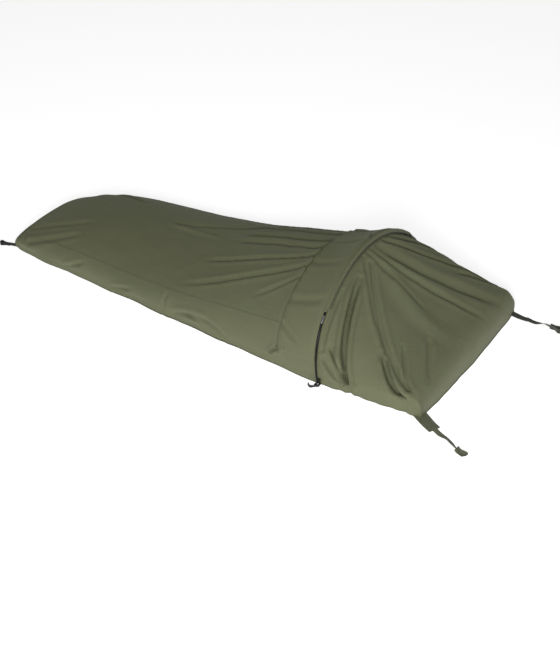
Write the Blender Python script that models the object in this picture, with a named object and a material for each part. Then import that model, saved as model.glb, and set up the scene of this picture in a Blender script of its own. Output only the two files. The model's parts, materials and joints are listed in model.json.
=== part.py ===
"""Hooped one-person bivy sack: every sewn panel, the shock-corded hoop and its zip as separate solids.

Metres, +Z up.  The sack lies along Y with its foot towards +Y and its head towards -Y.  It is drawn about
the middle of its hoop, x = 0, and SHIFT then moves it so that the origin is the middle of its floor box.
The hoop stands across the sack, leans slightly to the foot, and folds about its foot tips.
"""
import math

import bmesh
import bpy
from mathutils import Matrix, Vector

# ---------------------------------------------------------------- driving dimensions
GAP = 0.0003                 # clearance between touching pieces
CLOTH = 0.0020               # modelled thickness of a coated fabric panel
WEB_T = 0.0018               # thickness of webbing
BODY_L = 2.300               # head edge to the bulge of the foot end
SHIFT = (0.0369, 0.0859)     # moves the whole sack so that the origin is the middle of its floor box
HEAD_Y = -1.130              # head edge
FOOT_Y = HEAD_Y + BODY_L     # furthest point of the foot end
HOOP_Y = -0.660              # hoop's foot line
HOOP_LEAN = math.atan(0.118)  # hoop leans this much towards the foot
POLE_HALF = 0.480            # hoop's half width at its feet, pole centreline
POLE_CROWN = 0.430           # hoop's height in its own plane, pole centreline
POLE_R = 0.564               # radius of the crown arc, pole centreline
ARC_SIDE_X = 0.395           # where the crown arc meets the side arcs
TIP_Z = 0.0045               # height of the hoop's fold axis
HEAD_HALF = 0.4530           # half width of the head edge
FOOT_NEAR, FOOT_FAR = 0.332, 0.262  # half widths of the foot, which lies a little to the near side
SKIN_IN = 0.0105             # fabric arch inside the pole centreline
LIP_H = 0.030                # upright lip of every panel where it meets the floor
SEAM = 0.70                  # share of the half girth where the side wall's seam runs
HOOD_END_H = 0.122           # hood's height at the head edge
HEAD_BOW = 0.014             # the head edge bows outwards this much at its middle
HEAD_LIP = 0.078             # height of the hood's upright lip at the head edge
ZIP_S = 0.016                # zip line behind the hoop
FLAT_S = 0.036               # the shell keeps the hoop's own arch back to here
ZIP_HALF_ANGLE = 43.0        # zip runs this many degrees each way from the crown
COIL_W = 0.0028              # each half of the zip coil
TAPE_W = 0.014               # shell side zip tape
FLAP_W = 0.195               # storm flap, hoop to hem
FLAP_HEM_H = 0.367           # height of the flap's ridge at its hem, in the hoop's plane
HEM_W = 0.012                # bound hem of the flap
TUBE_R, TUBE_BORE = 0.00425, 0.00325     # pole tube
FERRULE_L = 0.034
END_GAP = 0.0006             # between butted lengths of the pole
SLEEVE_R, SLEEVE_BORE = 0.0068, 0.0052
SLEEVE_BARE = 0.322          # bare pole below each sleeve end, along the pole
CORD_R = 0.00125
STRAP_W = 0.025
# height of the shell's ridge at distances behind the hoop line (fabric, in the hoop's plane)
RIDGE = ((0.0, None), (FLAT_S, None), (0.08, 0.394), (0.195, 0.350), (0.30, 0.320), (0.50, 0.276),
         (0.80, 0.205), (1.10, 0.178), (1.35, 0.178), (1.60, 0.152), (1.76, 0.112), (1.83, 0.085))


# ---------------------------------------------------------------- scene and materials
def clear_scene():
    for obj in list(bpy.data.objects):
        bpy.data.objects.remove(obj, do_unlink=True)


def material(name, rgb, rough, metal=0.0):
    mat = bpy.data.materials.new(name)
    mat.use_nodes = True
    node = mat.node_tree.nodes["Principled BSDF"]
    node.inputs["Base Color"].default_value = (*rgb, 1.0)
    node.inputs["Roughness"].default_value = rough
    node.inputs["Metallic"].default_value = metal
    return mat


OLIVE = (0.105, 0.112, 0.062)
OLIVE_WEB = (0.085, 0.088, 0.052)
BLACK = (0.012, 0.012, 0.013)


def make(name, bm, rgb, rough=0.8, metal=0.0, origin=(0, 0, 0), smooth=True):
    """Turn a bmesh in world space into a named object whose origin is at `origin`."""
    bmesh.ops.remove_doubles(bm, verts=bm.verts, dist=1e-6)
    bmesh.ops.recalc_face_normals(bm, faces=bm.faces)
    bm.transform(Matrix.Translation(-Vector(origin)))
    origin = (origin[0] + SHIFT[0], origin[1] + SHIFT[1], origin[2])
    mesh = bpy.data.meshes.new(name)
    bm.to_mesh(mesh)
    bm.free()
    obj = bpy.data.objects.new(name, mesh)
    obj.location = origin
    bpy.context.scene.collection.objects.link(obj)
    mesh.materials.append(material(name + "_mat", rgb, rough, metal))
    if smooth:
        mesh.shade_smooth()
        mesh.set_sharp_from_angle(angle=math.radians(40))
    return obj


# ---------------------------------------------------------------- the arch
class Arch:
    """Three-centred arch, symmetric about x = 0, offset inwards from the pole centreline by `inset`."""

    def __init__(self, inset=0.0):
        th = math.asin(ARC_SIDE_X / POLE_R)
        zc = POLE_CROWN - POLE_R
        px, pz = ARC_SIDE_X, zc + POLE_R * math.cos(th)
        dx, dz = -math.sin(th), -math.cos(th)
        vx, vz = px - POLE_HALF, pz - TIP_Z
        r2 = -(vx * vx + vz * vz) / (2 * (vx * dx + vz * dz))
        self.zc, self.th = zc, th
        self.cx, self.cz = px + dx * r2, pz + dz * r2
        self.r1, self.r2 = POLE_R - inset, r2 - inset
        a1 = math.asin(max(-1.0, (TIP_Z - self.cz) / r2))
        if inset:                                # a fabric arch runs on down to the floor
            a1 = math.asin((LIP_H - self.cz) / self.r2)
        self.side = (math.pi / 2 - th) - a1
        self.half = self.r1 * th + self.r2 * self.side

    def at(self, d):
        """Point (x, z) at signed distance d from the crown along the arch; +d is the +X side."""
        s, sign = abs(d), (1 if d >= 0 else -1)
        if s <= self.r1 * self.th:
            a = s / self.r1
            return sign * self.r1 * math.sin(a), self.zc + self.r1 * math.cos(a)
        a = (math.pi / 2 - self.th) - (s - self.r1 * self.th) / self.r2
        return sign * (self.cx + self.r2 * math.cos(a)), self.cz + self.r2 * math.sin(a)


POLE = Arch()
HOOP_AXIS = (0.0, HOOP_Y + math.sin(HOOP_LEAN) * TIP_Z, TIP_Z * math.cos(HOOP_LEAN))
FLAP_AXIS = (0.0, HOOP_Y + 0.0078 + math.sin(HOOP_LEAN) * POLE_CROWN, POLE_CROWN * math.cos(HOOP_LEAN))
SKIN = Arch(SKIN_IN)
SKIN_HALF = abs(SKIN.at(SKIN.half)[0])
SKIN_TOP = SKIN.at(0)[1]


def lean_point(x, zeta, s, lean=1.0):
    """World point for (x, zeta) in the hoop's plane, s behind the hoop."""
    y = HOOP_Y + s + math.sin(HOOP_LEAN) * zeta * lean
    z = zeta * (1 - (1 - math.cos(HOOP_LEAN)) * lean)
    return Vector((x, y, z))


def smooth(a, b, v):
    t = min(1.0, max(0.0, (v - a) / (b - a)))
    return t * t * (3 - 2 * t)


def ridge(s):
    """Ridge height of the shell s behind the hoop, a smooth curve through RIDGE."""
    pts = [(a, SKIN_TOP if h is None else h) for a, h in RIDGE]
    if s <= pts[1][0]:
        return pts[0][1]
    if s >= pts[-1][0]:
        return pts[-1][1]
    slope = [0.0] * len(pts)
    for i in range(2, len(pts) - 1):
        d0 = (pts[i][1] - pts[i - 1][1]) / (pts[i][0] - pts[i - 1][0])
        d1 = (pts[i + 1][1] - pts[i][1]) / (pts[i + 1][0] - pts[i][0])
        slope[i] = 0.0 if d0 * d1 <= 0 else 2 * d0 * d1 / (d0 + d1)
    slope[1], slope[-1] = -0.75, -0.35
    for (a, ha), (b, hb), ma, mb in zip(pts, pts[1:], slope, slope[1:]):
        if s <= b:
            w = b - a
            t = (s - a) / w
            return ((2 * t ** 3 - 3 * t * t + 1) * ha + (t ** 3 - 2 * t * t + t) * w * ma
                    + (3 * t * t - 2 * t ** 3) * hb + (t ** 3 - t * t) * w * mb)
    return pts[-1][1]


FOOT_S = FOOT_Y - HOOP_Y - 0.045          # the shell's last row, where the foot end wall starts


def half_width(s, side):
    """Half width of the sack s behind the hoop; side is -1 or +1."""
    if s < 0:
        return SKIN_HALF + (HEAD_HALF - SKIN_HALF) * (-s / (HOOP_Y - HEAD_Y))
    foot = FOOT_NEAR if side < 0 else FOOT_FAR
    w = SKIN_HALF + (foot - SKIN_HALF) * max(0.0, s - FLAT_S) / (FOOT_S - FLAT_S)
    # the foot corners are rounded, the far one more than the near one
    rad, cut = (0.07, 0.016) if side < 0 else (0.26, 0.075)
    u = max(0.0, (s - (FOOT_S - rad)) / rad)
    return w - cut * u * u


def section(d, s):
    """Shell or hood point: d = signed fraction of the half girth (-1 to 1), s behind the hoop."""
    side = -1 if d < 0 else 1
    x, z = SKIN.at(d * SKIN.half)
    k = half_width(s, side) / SKIN_HALF
    lip_h, bow = LIP_H, 0.0
    if s >= 0:
        h = (ridge(s) - LIP_H) / (SKIN_TOP - LIP_H)
        lean = 1 - smooth(0.15, 0.75, s)
    else:
        u = -s / (HOOP_Y - HEAD_Y)
        bow = HEAD_BOW * u ** 3 * (1 - (x / SKIN_HALF) ** 2)
        lip_h = LIP_H + (HEAD_LIP - LIP_H) * u
        h = 1 + ((HOOD_END_H - HEAD_LIP) / (SKIN_TOP - LIP_H) - 1) * u
        lean = 1 - u
    zeta = lip_h + (z - LIP_H) * h
    p = lean_point(x * k, zeta, s - bow, lean)
    # the foot end is drawn a little towards the near side
    p.y -= 0.080 * smooth(0.9, FOOT_S, s) * (0.5 + 0.5 * x / SKIN_HALF) if s > 0 else 0.0
    return p


def outward(d, s):
    """Outward normal of the fabric at (d, s); beside the hoop and zip it lies in the hoop's plane."""
    e = 0.004
    lo, hi = max(-1.0, d - e), min(1.0, d + e)
    across = section(hi, s) - section(lo, s)
    along = Vector((0, 1, 0)) if -0.001 < s < FLAT_S + 0.005 else section(d, s + e) - section(d, s - e)
    return across.cross(along).normalized()


def level(v):
    return Vector((v.x, v.y, 0.0)).normalized()


# rows of the side walls, hoop line to foot; the shell starts at the second, the zip's edge
BODY_ST = [0.00015, ZIP_S + COIL_W + TAPE_W + GAP, 0.055, 0.085, 0.125]
BODY_ST += [0.175 + (FOOT_S - 0.175) * i / 15 for i in range(16)]
ZIP_END = math.radians(ZIP_HALF_ANGLE) * SKIN.r1 / SKIN.half + 0.0012     # girth fraction at the zip's end


def seam_at(s):
    """Girth fraction of the seam between side wall and shell; at the hoop it runs up to the zip's end."""
    return ZIP_END + (SEAM - ZIP_END) * smooth(BODY_ST[1], 0.085, s)


# ---------------------------------------------------------------- solid builders
def thick_grid(rows, thickness=CLOTH):
    """Closed panel from rows of (point, outward normal): the outer layer and one `thickness` inside it."""
    nr, nc = len(rows), len(rows[0])
    bm = bmesh.new()
    top = [[bm.verts.new(p) for p, _ in row] for row in rows]
    low = [[bm.verts.new(p - thickness * n) for p, n in row] for row in rows]
    keep = {(i, j) for i in range(nr - 1) for j in range(nc - 1)}
    for i, j in sorted(keep):
        for k, g in ((1, top), (-1, low)):       # both layers are split along the same diagonal
            bm.faces.new((g[i][j], g[i][j + 1], g[i + 1][j + 1])[::k])
            bm.faces.new((g[i][j], g[i + 1][j + 1], g[i + 1][j])[::k])
        for (di, dj), (a, b) in (((-1, 0), ((i, j), (i, j + 1))), ((1, 0), ((i + 1, j), (i + 1, j + 1))),
                                 ((0, -1), ((i, j), (i + 1, j))), ((0, 1), ((i, j + 1), (i + 1, j + 1)))):
            if (i + di, j + dj) not in keep:
                bm.faces.new((top[a[0]][a[1]], top[b[0]][b[1]], low[b[0]][b[1]], low[a[0]][a[1]]))
    return bm


def sweep(points, ring, closed=False):
    """Closed body from a ring function: ring(i, point, tangent) gives the ring's points."""
    bm = bmesh.new()
    n, rings = len(points), []
    for i, p in enumerate(points):
        if closed:
            tan = points[(i + 1) % n] - points[i - 1]
        else:
            tan = points[min(i + 1, n - 1)] - points[max(i - 1, 0)]
        rings.append([bm.verts.new(v) for v in ring(i, p, tan.normalized())])
    m = len(rings[0])
    for i in range(n if closed else n - 1):
        a, b = rings[i], rings[(i + 1) % n]
        for j in range(m):
            bm.faces.new((a[j], a[(j + 1) % m], b[(j + 1) % m], b[j]))
    if not closed:
        bm.faces.new(rings[0])
        bm.faces.new(rings[-1])
    return bm


def round_ring(radius, sides, normal=Vector((0, 1, 0))):
    def ring(_, p, tan):
        u = (normal - normal.dot(tan) * tan).normalized()
        v = tan.cross(u)
        return [p + radius * (math.cos(a) * u + math.sin(a) * v)
                for a in (2 * math.pi * k / sides for k in range(sides))]
    return ring


def tube(points, radius, bore, sides=12, normal=Vector((0, 1, 0))):
    """Open-ended tube along a path."""
    bm = bmesh.new()
    outer, inner = round_ring(radius, sides, normal), round_ring(bore, sides, normal)
    n, lo, li = len(points), [], []
    for i, p in enumerate(points):
        tan = (points[min(i + 1, n - 1)] - points[max(i - 1, 0)]).normalized()
        lo.append([bm.verts.new(v) for v in outer(i, p, tan)])
        li.append([bm.verts.new(v) for v in inner(i, p, tan)])
    for i in range(n - 1):
        for j in range(sides):
            k = (j + 1) % sides
            bm.faces.new((lo[i][j], lo[i][k], lo[i + 1][k], lo[i + 1][j]))
            bm.faces.new((li[i + 1][j], li[i + 1][k], li[i][k], li[i][j]))
    for i in (0, n - 1):
        for j in range(sides):
            k = (j + 1) % sides
            bm.faces.new((lo[i][j], lo[i][k], li[i][k], li[i][j]))
    return bm


def pole_path(a, b, n):
    """Points on the pole's centreline between distances a and b from the near foot."""
    return [lean_point(*POLE.at(-POLE.half + a + (b - a) * i / n), 0.0) for i in range(n + 1)]


def lathe(profile, sides=20, at=Vector(), axis=None):
    """Solid of revolution about +Z, or about `axis`, from (r, z) pairs; closed on itself or on the axis."""
    bm = bmesh.new()
    rot = Vector((0, 0, 1)).rotation_difference(axis).to_matrix() if axis else Matrix.Identity(3)
    cols = []
    for k in range(sides):
        c, s = math.cos(2 * math.pi * k / sides), math.sin(2 * math.pi * k / sides)
        cols.append([bm.verts.new(at + rot @ Vector((r * c, r * s, z))) for r, z in profile])
    m = len(profile)
    ring = profile[0][0] > 1e-6 and profile[-1][0] > 1e-6
    for k in range(sides):
        a, b = cols[k], cols[(k + 1) % sides]
        for j in range(m if ring else m - 1):
            bm.faces.new((a[j], a[(j + 1) % m], b[(j + 1) % m], b[j]))
    bmesh.ops.remove_doubles(bm, verts=bm.verts, dist=1e-7)
    bad = [f for f in bm.faces if f.calc_area() < 1e-14]
    bmesh.ops.delete(bm, geom=bad, context="FACES")
    return bm


def prism(outline, z0, z1, holes=()):
    """Flat plate from an outline; holes are outlines with as many points as the outer one."""
    bm = bmesh.new()
    rings = [[[bm.verts.new((x, y, z)) for x, y in line] for z in (z0, z1)] for line in (outline, *holes)]
    for low, top in rings:
        n = len(low)
        for i in range(n):
            bm.faces.new((low[i], low[(i + 1) % n], top[(i + 1) % n], top[i]))
    for face in (0, 1):
        if holes:
            a, b = rings[0][face], rings[1][face]
            n = len(a)
            for i in range(n):
                bm.faces.new((a[i], a[(i + 1) % n], b[(i + 1) % n], b[i]))
        else:
            bm.faces.new(rings[0][face])
    return bm


# ---------------------------------------------------------------- sewn panels
BASE_Z = CLOTH + GAP                       # panels start just above the floor


def stations(a, b, n):
    return [a + (b - a) * i / n for i in range(n + 1)]


HOOD_COLS = [i / 9 for i in range(-9, 10)]
EDGE = 0.0008                              # the head edge's seam stands out this much
BAND_SHARE = 0.80                          # the band's share of the upright lip


def floor_lip(d, s):
    """Foot of a panel's lip under section point (d, s), with its level normal."""
    p = section(d, s)
    return Vector((p.x, p.y, BASE_Z)), level(outward(d, s))


def build_floor():
    near, far = [], []
    for s in [-(HOOP_Y - HEAD_Y)] + [0.0] + BODY_ST:
        p, q = section(-1, s), section(1, s)
        near.append((p.x, p.y))
        far.append((q.x, q.y))
    head = [section(d, HEAD_Y - HOOP_Y) for d in HOOD_COLS]
    head = [(p.x, p.y - EDGE) for p in head]
    foot = [tuple(foot_edge(d)[0].xy) for d in FOOT_COLS[1:-1]]
    outline = near[1:] + foot + far[:0:-1] + head[::-1]
    make("groundsheet_floor", prism(outline, 0.0, CLOTH), (0.062, 0.064, 0.040), 0.6, smooth=False)


FOOT_COLS = [i / 10 for i in range(-10, 11)]


def foot_edge(d, z_frac=0.0):
    """Foot end wall at girth fraction d, z_frac 0 at the floor and 1 at the shell's last row."""
    top = section(d, FOOT_S)
    bulge = 0.045 * (1 - abs(d) ** (5 if d < 0 else 3)) * math.sin(math.pi * (0.30 + 0.70 * z_frac))
    z = BASE_Z + (top.z - BASE_Z) * z_frac
    return Vector((top.x, top.y + CLOTH + GAP + bulge, z)), Vector((0, 1, 0))


def build_foot_wall():
    rows = [[foot_edge(d, zf) for d in FOOT_COLS] for zf in (0.0, 0.35, 0.70, 1.0)]
    make("foot_end_wall", thick_grid(rows), OLIVE)


def build_shell():
    cols = [2 * j / 18 - 1 for j in range(19)]
    rows = [[(section(c * seam_at(s), s), outward(c * seam_at(s), s)) for c in cols] for s in BODY_ST[1:]]
    make("upper_shell", thick_grid(rows), OLIVE)


def build_walls():
    for name, side in (("side_wall_near", -1), ("side_wall_far", 1)):
        rows = []
        for s in BODY_ST:
            fs = [seam_at(s) + (1 - seam_at(s)) * k / 5 for k in range(6)]
            line = [(section(side * f, s), outward(side * f, s)) for f in fs]
            seam, n = line[0]
            line[0] = (seam + (line[1][0] - seam).normalized() * GAP, n)
            rows.append([floor_lip(side, s)] + line[::-1])
        make(name, thick_grid(rows), OLIVE)


def band_top(s):
    """Height of the head end's upright wall band beside section s."""
    u = -s / (HOOP_Y - HEAD_Y)
    return BAND_SHARE * (LIP_H + (HEAD_LIP - LIP_H) * u)


def build_head_band():
    """Upright band of the groundsheet's tub round the head end: near side, head edge, far side."""
    b, line = HOOP_Y - HEAD_Y, []
    front = Vector((0, -1, 0))
    ss = stations(-0.00015, -b, 7)
    for side, order in ((-1, ss), (1, ss[::-1])):
        run = []
        for s in order:
            p, n = floor_lip(side, s)
            corner = abs(s + b) < 1e-9
            run.append((Vector((p.x, p.y - (EDGE if corner else 0.0), 0)),
                        (n + front).normalized() if corner else n, band_top(s)))
        line += run
        if side < 0:
            for d in HOOD_COLS[1:-1]:
                p = section(d, -b)
                line.append((Vector((p.x, p.y - EDGE, 0)), front, band_top(-b)))
    rows = [[(p + Vector((0, 0, BASE_Z)), n) for p, n, _ in line],
            [(p + Vector((0, 0, h)), n) for p, n, h in line]]
    make("head_wall_band", thick_grid(rows[::-1]), OLIVE)


def build_hood():
    rows, b = [], HOOP_Y - HEAD_Y
    for s in stations(-0.00015, -b, 7):
        line = [(section(d, s), outward(d, s)) for d in HOOD_COLS]
        ends = []
        for side in (-1, 1):
            p, n = floor_lip(side, s)
            ends.append((Vector((p.x, p.y, band_top(s) + GAP)), n))
        rows.append([ends[0]] + line + [ends[1]])
    # the upright head face below the last row, drawn to a point at each corner
    front = Vector((0, -1, 0))
    rows[-1] = [(p, (n + front).normalized()) for p, n in rows[-1]]
    edge = [(Vector((p.x, p.y - EDGE, band_top(-b) + GAP)), front) for p, _ in rows[-1][1:-1]]
    edge[0][0].x += 0.008
    edge[-1][0].x -= 0.008
    rows.append([rows[-1][0]] + edge + [rows[-1][-1]])
    make("hood_panel", thick_grid(rows), OLIVE)


def arch_band(s0, s1, rise, half_angle, thickness=CLOTH, cols=20):
    """Band on the crown arc between distances s0 and s1 behind the hoop, raised `rise` off the skin."""
    rows = []
    for s in (s0, s1):
        line = []
        for j in range(cols + 1):
            a = math.radians(half_angle) * (2 * j / cols - 1)
            r = SKIN.r1 + rise
            up = Vector((math.sin(a), math.sin(HOOP_LEAN) * math.cos(a), math.cos(HOOP_LEAN) * math.cos(a)))
            line.append((lean_point(r * math.sin(a), SKIN.zc + r * math.cos(a), s), up))
        rows.append(line)
    return thick_grid(rows, thickness)


def build_zip():
    a, c = ZIP_HALF_ANGLE, ZIP_HALF_ANGLE - 0.6
    make("zip_tape_hood", arch_band(GAP, ZIP_S - COIL_W - GAP, 0.0, a), BLACK, 0.85, origin=HOOP_AXIS)
    make("zip_tape_shell", arch_band(ZIP_S + COIL_W + GAP, ZIP_S + COIL_W + TAPE_W, 0.0, a), BLACK, 0.85)
    make("zip_coil_hood", arch_band(ZIP_S - COIL_W, ZIP_S - GAP / 2, 0.0008, c, 0.0028), BLACK, 0.45,
         origin=HOOP_AXIS)
    make("zip_coil_shell", arch_band(ZIP_S + GAP / 2, ZIP_S + COIL_W, 0.0008, c, 0.0028), BLACK, 0.45)
    for name, deg in (("zip_stop_near", 0.28 - a), ("zip_stop_far", a - 0.28)):
        make(name, zip_block(deg, 0.0045, 2 * COIL_W, -0.0018, 0.0022), (0.55, 0.53, 0.48), 0.35, 1.0,
             smooth=False)
    build_slider()


def zip_frame(deg):
    """Matrix at the zip line, `deg` from the crown: x along the zip, y across it, z outwards."""
    a = math.radians(deg)
    up = Vector((math.sin(a), math.sin(HOOP_LEAN) * math.cos(a), math.cos(HOOP_LEAN) * math.cos(a)))
    back = Vector((0, math.cos(HOOP_LEAN), -math.sin(HOOP_LEAN)))
    m = Matrix((back.cross(up), back, up)).transposed().to_4x4()
    m.translation = lean_point(SKIN.r1 * math.sin(a), SKIN.zc + SKIN.r1 * math.cos(a), ZIP_S)
    return m


def zip_block(deg, length, width, z0, z1):
    bm = bmesh.new()
    bmesh.ops.create_cube(bm, size=1.0)
    for v in bm.verts:
        v.co = Vector((v.co.x * length, v.co.y * width, z0 + (v.co.z + 0.5) * (z1 - z0)))
    bmesh.ops.bevel(bm, geom=bm.edges[:], offset=0.0004, segments=1, affect="EDGES")
    bm.transform(zip_frame(deg))
    return bm


SLIDER_DEG = -ZIP_HALF_ANGLE + 1.4         # slider's rest place, at the near end of the zip
SLIDER_L = 0.0130


def build_slider():
    """Die-cast slider: a crowned plate over the coil with a flange down each side and a pull bail."""
    prof = ((-0.0050, 0.0010), (-0.0036, 0.0010), (-0.0036, 0.0014), (0.0036, 0.0014), (0.0036, 0.0010),
            (0.0050, 0.0010), (0.0050, 0.0023), (0.0030, 0.0028), (-0.0030, 0.0028), (-0.0050, 0.0023))
    bm = bmesh.new()
    ends = []
    for x, k in ((-SLIDER_L / 2, 0.85), (0.0, 1.0), (SLIDER_L / 2, 0.85)):
        ends.append([bm.verts.new((x, y * (k if abs(y) > 0.004 else 1.0), z)) for y, z in prof])
    n = len(prof)
    for a, b in zip(ends, ends[1:]):
        for i in range(n):
            bm.faces.new((a[i], a[(i + 1) % n], b[(i + 1) % n], b[i]))
    bm.faces.new(ends[0])
    bm.faces.new(ends[-1])
    bm.transform(zip_frame(SLIDER_DEG))
    centre = lean_point(0, SKIN.zc, ZIP_S)
    make("zip_slider", bm, (0.30, 0.29, 0.27), 0.4, 1.0, origin=centre, smooth=False)
    # flat pull tab lying on the slider and down along the zip
    pull = [(0.0045, -0.0022), (0.0045, 0.0022), (-0.024, 0.0034), (-0.031, 0.0026), (-0.031, -0.0026),
            (-0.024, -0.0034)]
    bm = prism(pull, 0.0031, 0.0043)
    pivot = zip_frame(SLIDER_DEG)
    bm.transform(pivot)
    make("zip_pull_tab", bm, BLACK, 0.5, origin=pivot @ Vector((0, 0, 0.0037)), smooth=False)


FLAP = Arch(1e-6)                          # the flap starts on the pole's own arch, carried down to the lip
FLAP_HALF = abs(FLAP.at(FLAP.half)[0])
FLAP_DROP_S = 0.026                        # the flap is level back to here, over the zip
FLAP_D = 0.89                              # girth fraction of the flap's lower ends


def flap_point(d, s, rise=0.0):
    """Storm flap surface: flat along Y over the zip, then drooping to its hem."""
    x, z = FLAP.at(d * FLAP.half)
    k = (half_width(s, -1 if d < 0 else 1) + SKIN_IN + rise) / FLAP_HALF
    drop = 1 - (1 - min(1.0, max(0.0, (s - FLAP_DROP_S) / (FLAP_W - FLAP_DROP_S)))) ** 1.6
    top = POLE_CROWN + rise + (FLAP_HEM_H - POLE_CROWN) * drop
    h = (top - LIP_H) / (POLE_CROWN - LIP_H)
    return lean_point(x * k, LIP_H + (z - LIP_H) * h, s)


def flap_cell(d, s, rise=0.0):
    e = 0.004
    across = flap_point(d + e, s, rise) - flap_point(d - e, s, rise)
    along = flap_point(d, s + e, rise) - flap_point(d, s - e, rise)
    return flap_point(d, s, rise), across.cross(along).normalized()


def build_flap():
    ds = [FLAP_D * (j / 10 - 1) for j in range(21)]
    ss = (SLEEVE_R + 0.0010, 0.028, 0.050, 0.085, 0.130, FLAP_W - HEM_W - GAP)
    rows = [[flap_cell(d, s) for d in ds] for s in ss]
    make("storm_flap", thick_grid(rows, 0.0015), OLIVE, origin=FLAP_AXIS)
    rows = [[flap_cell(d, s, 0.0004) for d in ds] for s in (FLAP_W - HEM_W, FLAP_W)]
    make("flap_hem_binding", thick_grid(rows, 0.0024), OLIVE_WEB, origin=FLAP_AXIS)


# ---------------------------------------------------------------- hoop
def build_hoop():
    total = 2 * POLE.half
    tip_l = 0.016
    seg = (total - 2 * tip_l - 4 * FERRULE_L - 10 * END_GAP) / 5
    names = ("pole_near_leg", "pole_near_shoulder", "pole_crown", "pole_far_shoulder", "pole_far_leg")
    at = tip_l + END_GAP
    for i, name in enumerate(names):
        make(name, tube(pole_path(at, at + seg, 8), TUBE_R, TUBE_BORE, 10), BLACK, 0.35, origin=HOOP_AXIS)
        at += seg + END_GAP
        if i < 4:
            make("pole_ferrule_%d" % (i + 1), tube(pole_path(at, at + FERRULE_L, 2), TUBE_R, TUBE_BORE, 10),
                 (0.60, 0.61, 0.62), 0.3, 1.0, origin=HOOP_AXIS)
            at += FERRULE_L + END_GAP
    make("pole_shock_cord", sweep(pole_path(tip_l + GAP, total - tip_l - GAP, 36), round_ring(CORD_R, 5)),
         BLACK, 0.9, origin=HOOP_AXIS)
    make("pole_sleeve", tube(pole_path(SLEEVE_BARE, total - SLEEVE_BARE, 22), SLEEVE_R, SLEEVE_BORE, 10),
         OLIVE, origin=HOOP_AXIS)
    for name, end, nxt in (("pole_tip_near", 0.0, tip_l), ("pole_tip_far", total, total - tip_l)):
        foot = pole_path(end, end, 1)[0]
        axis = (pole_path(nxt, nxt, 1)[0] - foot).normalized()
        ball = [(0.0022 * math.cos(a), 0.0022 * math.sin(a))
                for a in (math.radians(d) for d in (-90, -60, -30, 0, 20))]
        prof = [(0.0, ball[0][1])] + ball[1:] + [(0.0021, 0.008), (0.0036, 0.0105), (TUBE_R, 0.0115),
                                                 (TUBE_R, tip_l), (0.0, tip_l)]
        make(name, lathe(prof, 14, foot, axis), BLACK, 0.4, origin=foot)


def circle(cx, cy, r, n, phase=0.0):
    return [(cx + r * math.cos(phase + 2 * math.pi * k / n), cy + r * math.sin(phase + 2 * math.pi * k / n))
            for k in range(n)]


def strap_body(path, width, thickness, twist):
    """Webbing swept along a path; twist(i) turns it from flat (0) to standing on its edge (90 degrees)."""
    def ring(i, p, tan):
        flat = Vector((tan.y, -tan.x, 0)).normalized()
        a = math.radians(twist(i))
        wide = flat * math.cos(a) + Vector((0, 0, 1)) * math.sin(a)
        thin = tan.cross(wide).normalized()
        return [p + wide * (u * width / 2) + thin * (v * thickness / 2)
                for u, v in ((-1, -1), (1, -1), (1, 1), (-1, 1))]
    return sweep(path, ring)


def strap_path(start, yaw, lead, loop_l=0.034, loop_w=0.011, wander=0.0):
    """Plan route of a stake strap: `lead` straight on, a teardrop loop, and back beside itself."""
    pts = []
    for i in range(9):
        u = i / 8
        pts.append((lead * u, wander * (1 - math.cos(2 * math.pi * u))))
    for i in range(1, 17):
        u = i / 17
        x = lead + loop_l * math.sin(math.pi * u) ** 0.8
        y = -loop_w * math.sin(2 * math.pi * u)
        pts.append((x, y + 0.0026 * u))
    for i in range(4):
        x = lead - 0.004 - 0.006 * i
        pts.append((x, 0.0026 + wander * (1 - math.cos(2 * math.pi * x / lead))))
    c, s = math.cos(yaw), math.sin(yaw)
    return [Vector((start[0] + c * x - s * y, start[1] + s * x + c * y, 0.0)) for x, y in pts]


def build_corners():
    """Head corner patches and the stake straps at all four corners."""
    b = HOOP_Y - HEAD_Y
    corners = (("near", -1, -2.00, -2.07, 0.160), ("far", 1, -1.88, -1.66, 0.120))
    for name, side, patch_yaw, yaw, lead in corners:
        cx, cy = side * (HEAD_HALF + GAP), HEAD_Y - EDGE - GAP
        up_side = section(side, 0.038 - b)
        out = Vector((math.cos(patch_yaw), math.sin(patch_yaw)))
        across = Vector((-out.y, out.x)) * 0.028
        end = Vector((cx, cy)) + out * 0.092
        line = [(up_side.x + side * GAP, up_side.y), (cx, cy), (cx - side * 0.045, cy - 0.005),
                tuple(end - side * across), tuple(end + side * across)]
        make("head_patch_" + name, prism(line, 0.0, WEB_T), OLIVE_WEB, 0.85, smooth=False)
        start = end + out * 0.0042
        path = strap_path(start, yaw, lead, wander=0.004)

        def turn(i):
            return 90 * smooth(0, 7, i)
        for i, p in enumerate(path):
            a = math.radians(turn(i))
            p.z = STRAP_W / 2 * math.sin(a) + 0.0008 * math.cos(a) + 0.0002
        make("head_strap_" + name, strap_body(path, STRAP_W, 0.0016, turn), OLIVE_WEB, 0.9,
             origin=(start.x, start.y, 0.0010), smooth=False)
    for name, side, yaw in (("near", -1, 1.83), ("far", 1, 1.40)):
        foot = foot_edge(side * 0.93)[0]
        start = (foot.x, foot.y + 0.0040)
        path = strap_path(start, yaw, 0.050, loop_l=0.030, loop_w=0.009)
        for q in path:
            q.z = 0.0095
        make("foot_strap_" + name, strap_body(path, 0.018, 0.0016, lambda i: 90.0), BLACK, 0.9,
             origin=(start[0], start[1], 0.0095), smooth=False)


EYELET_R = 0.0064                          # hole in the webbing tab round the eyelet


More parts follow.
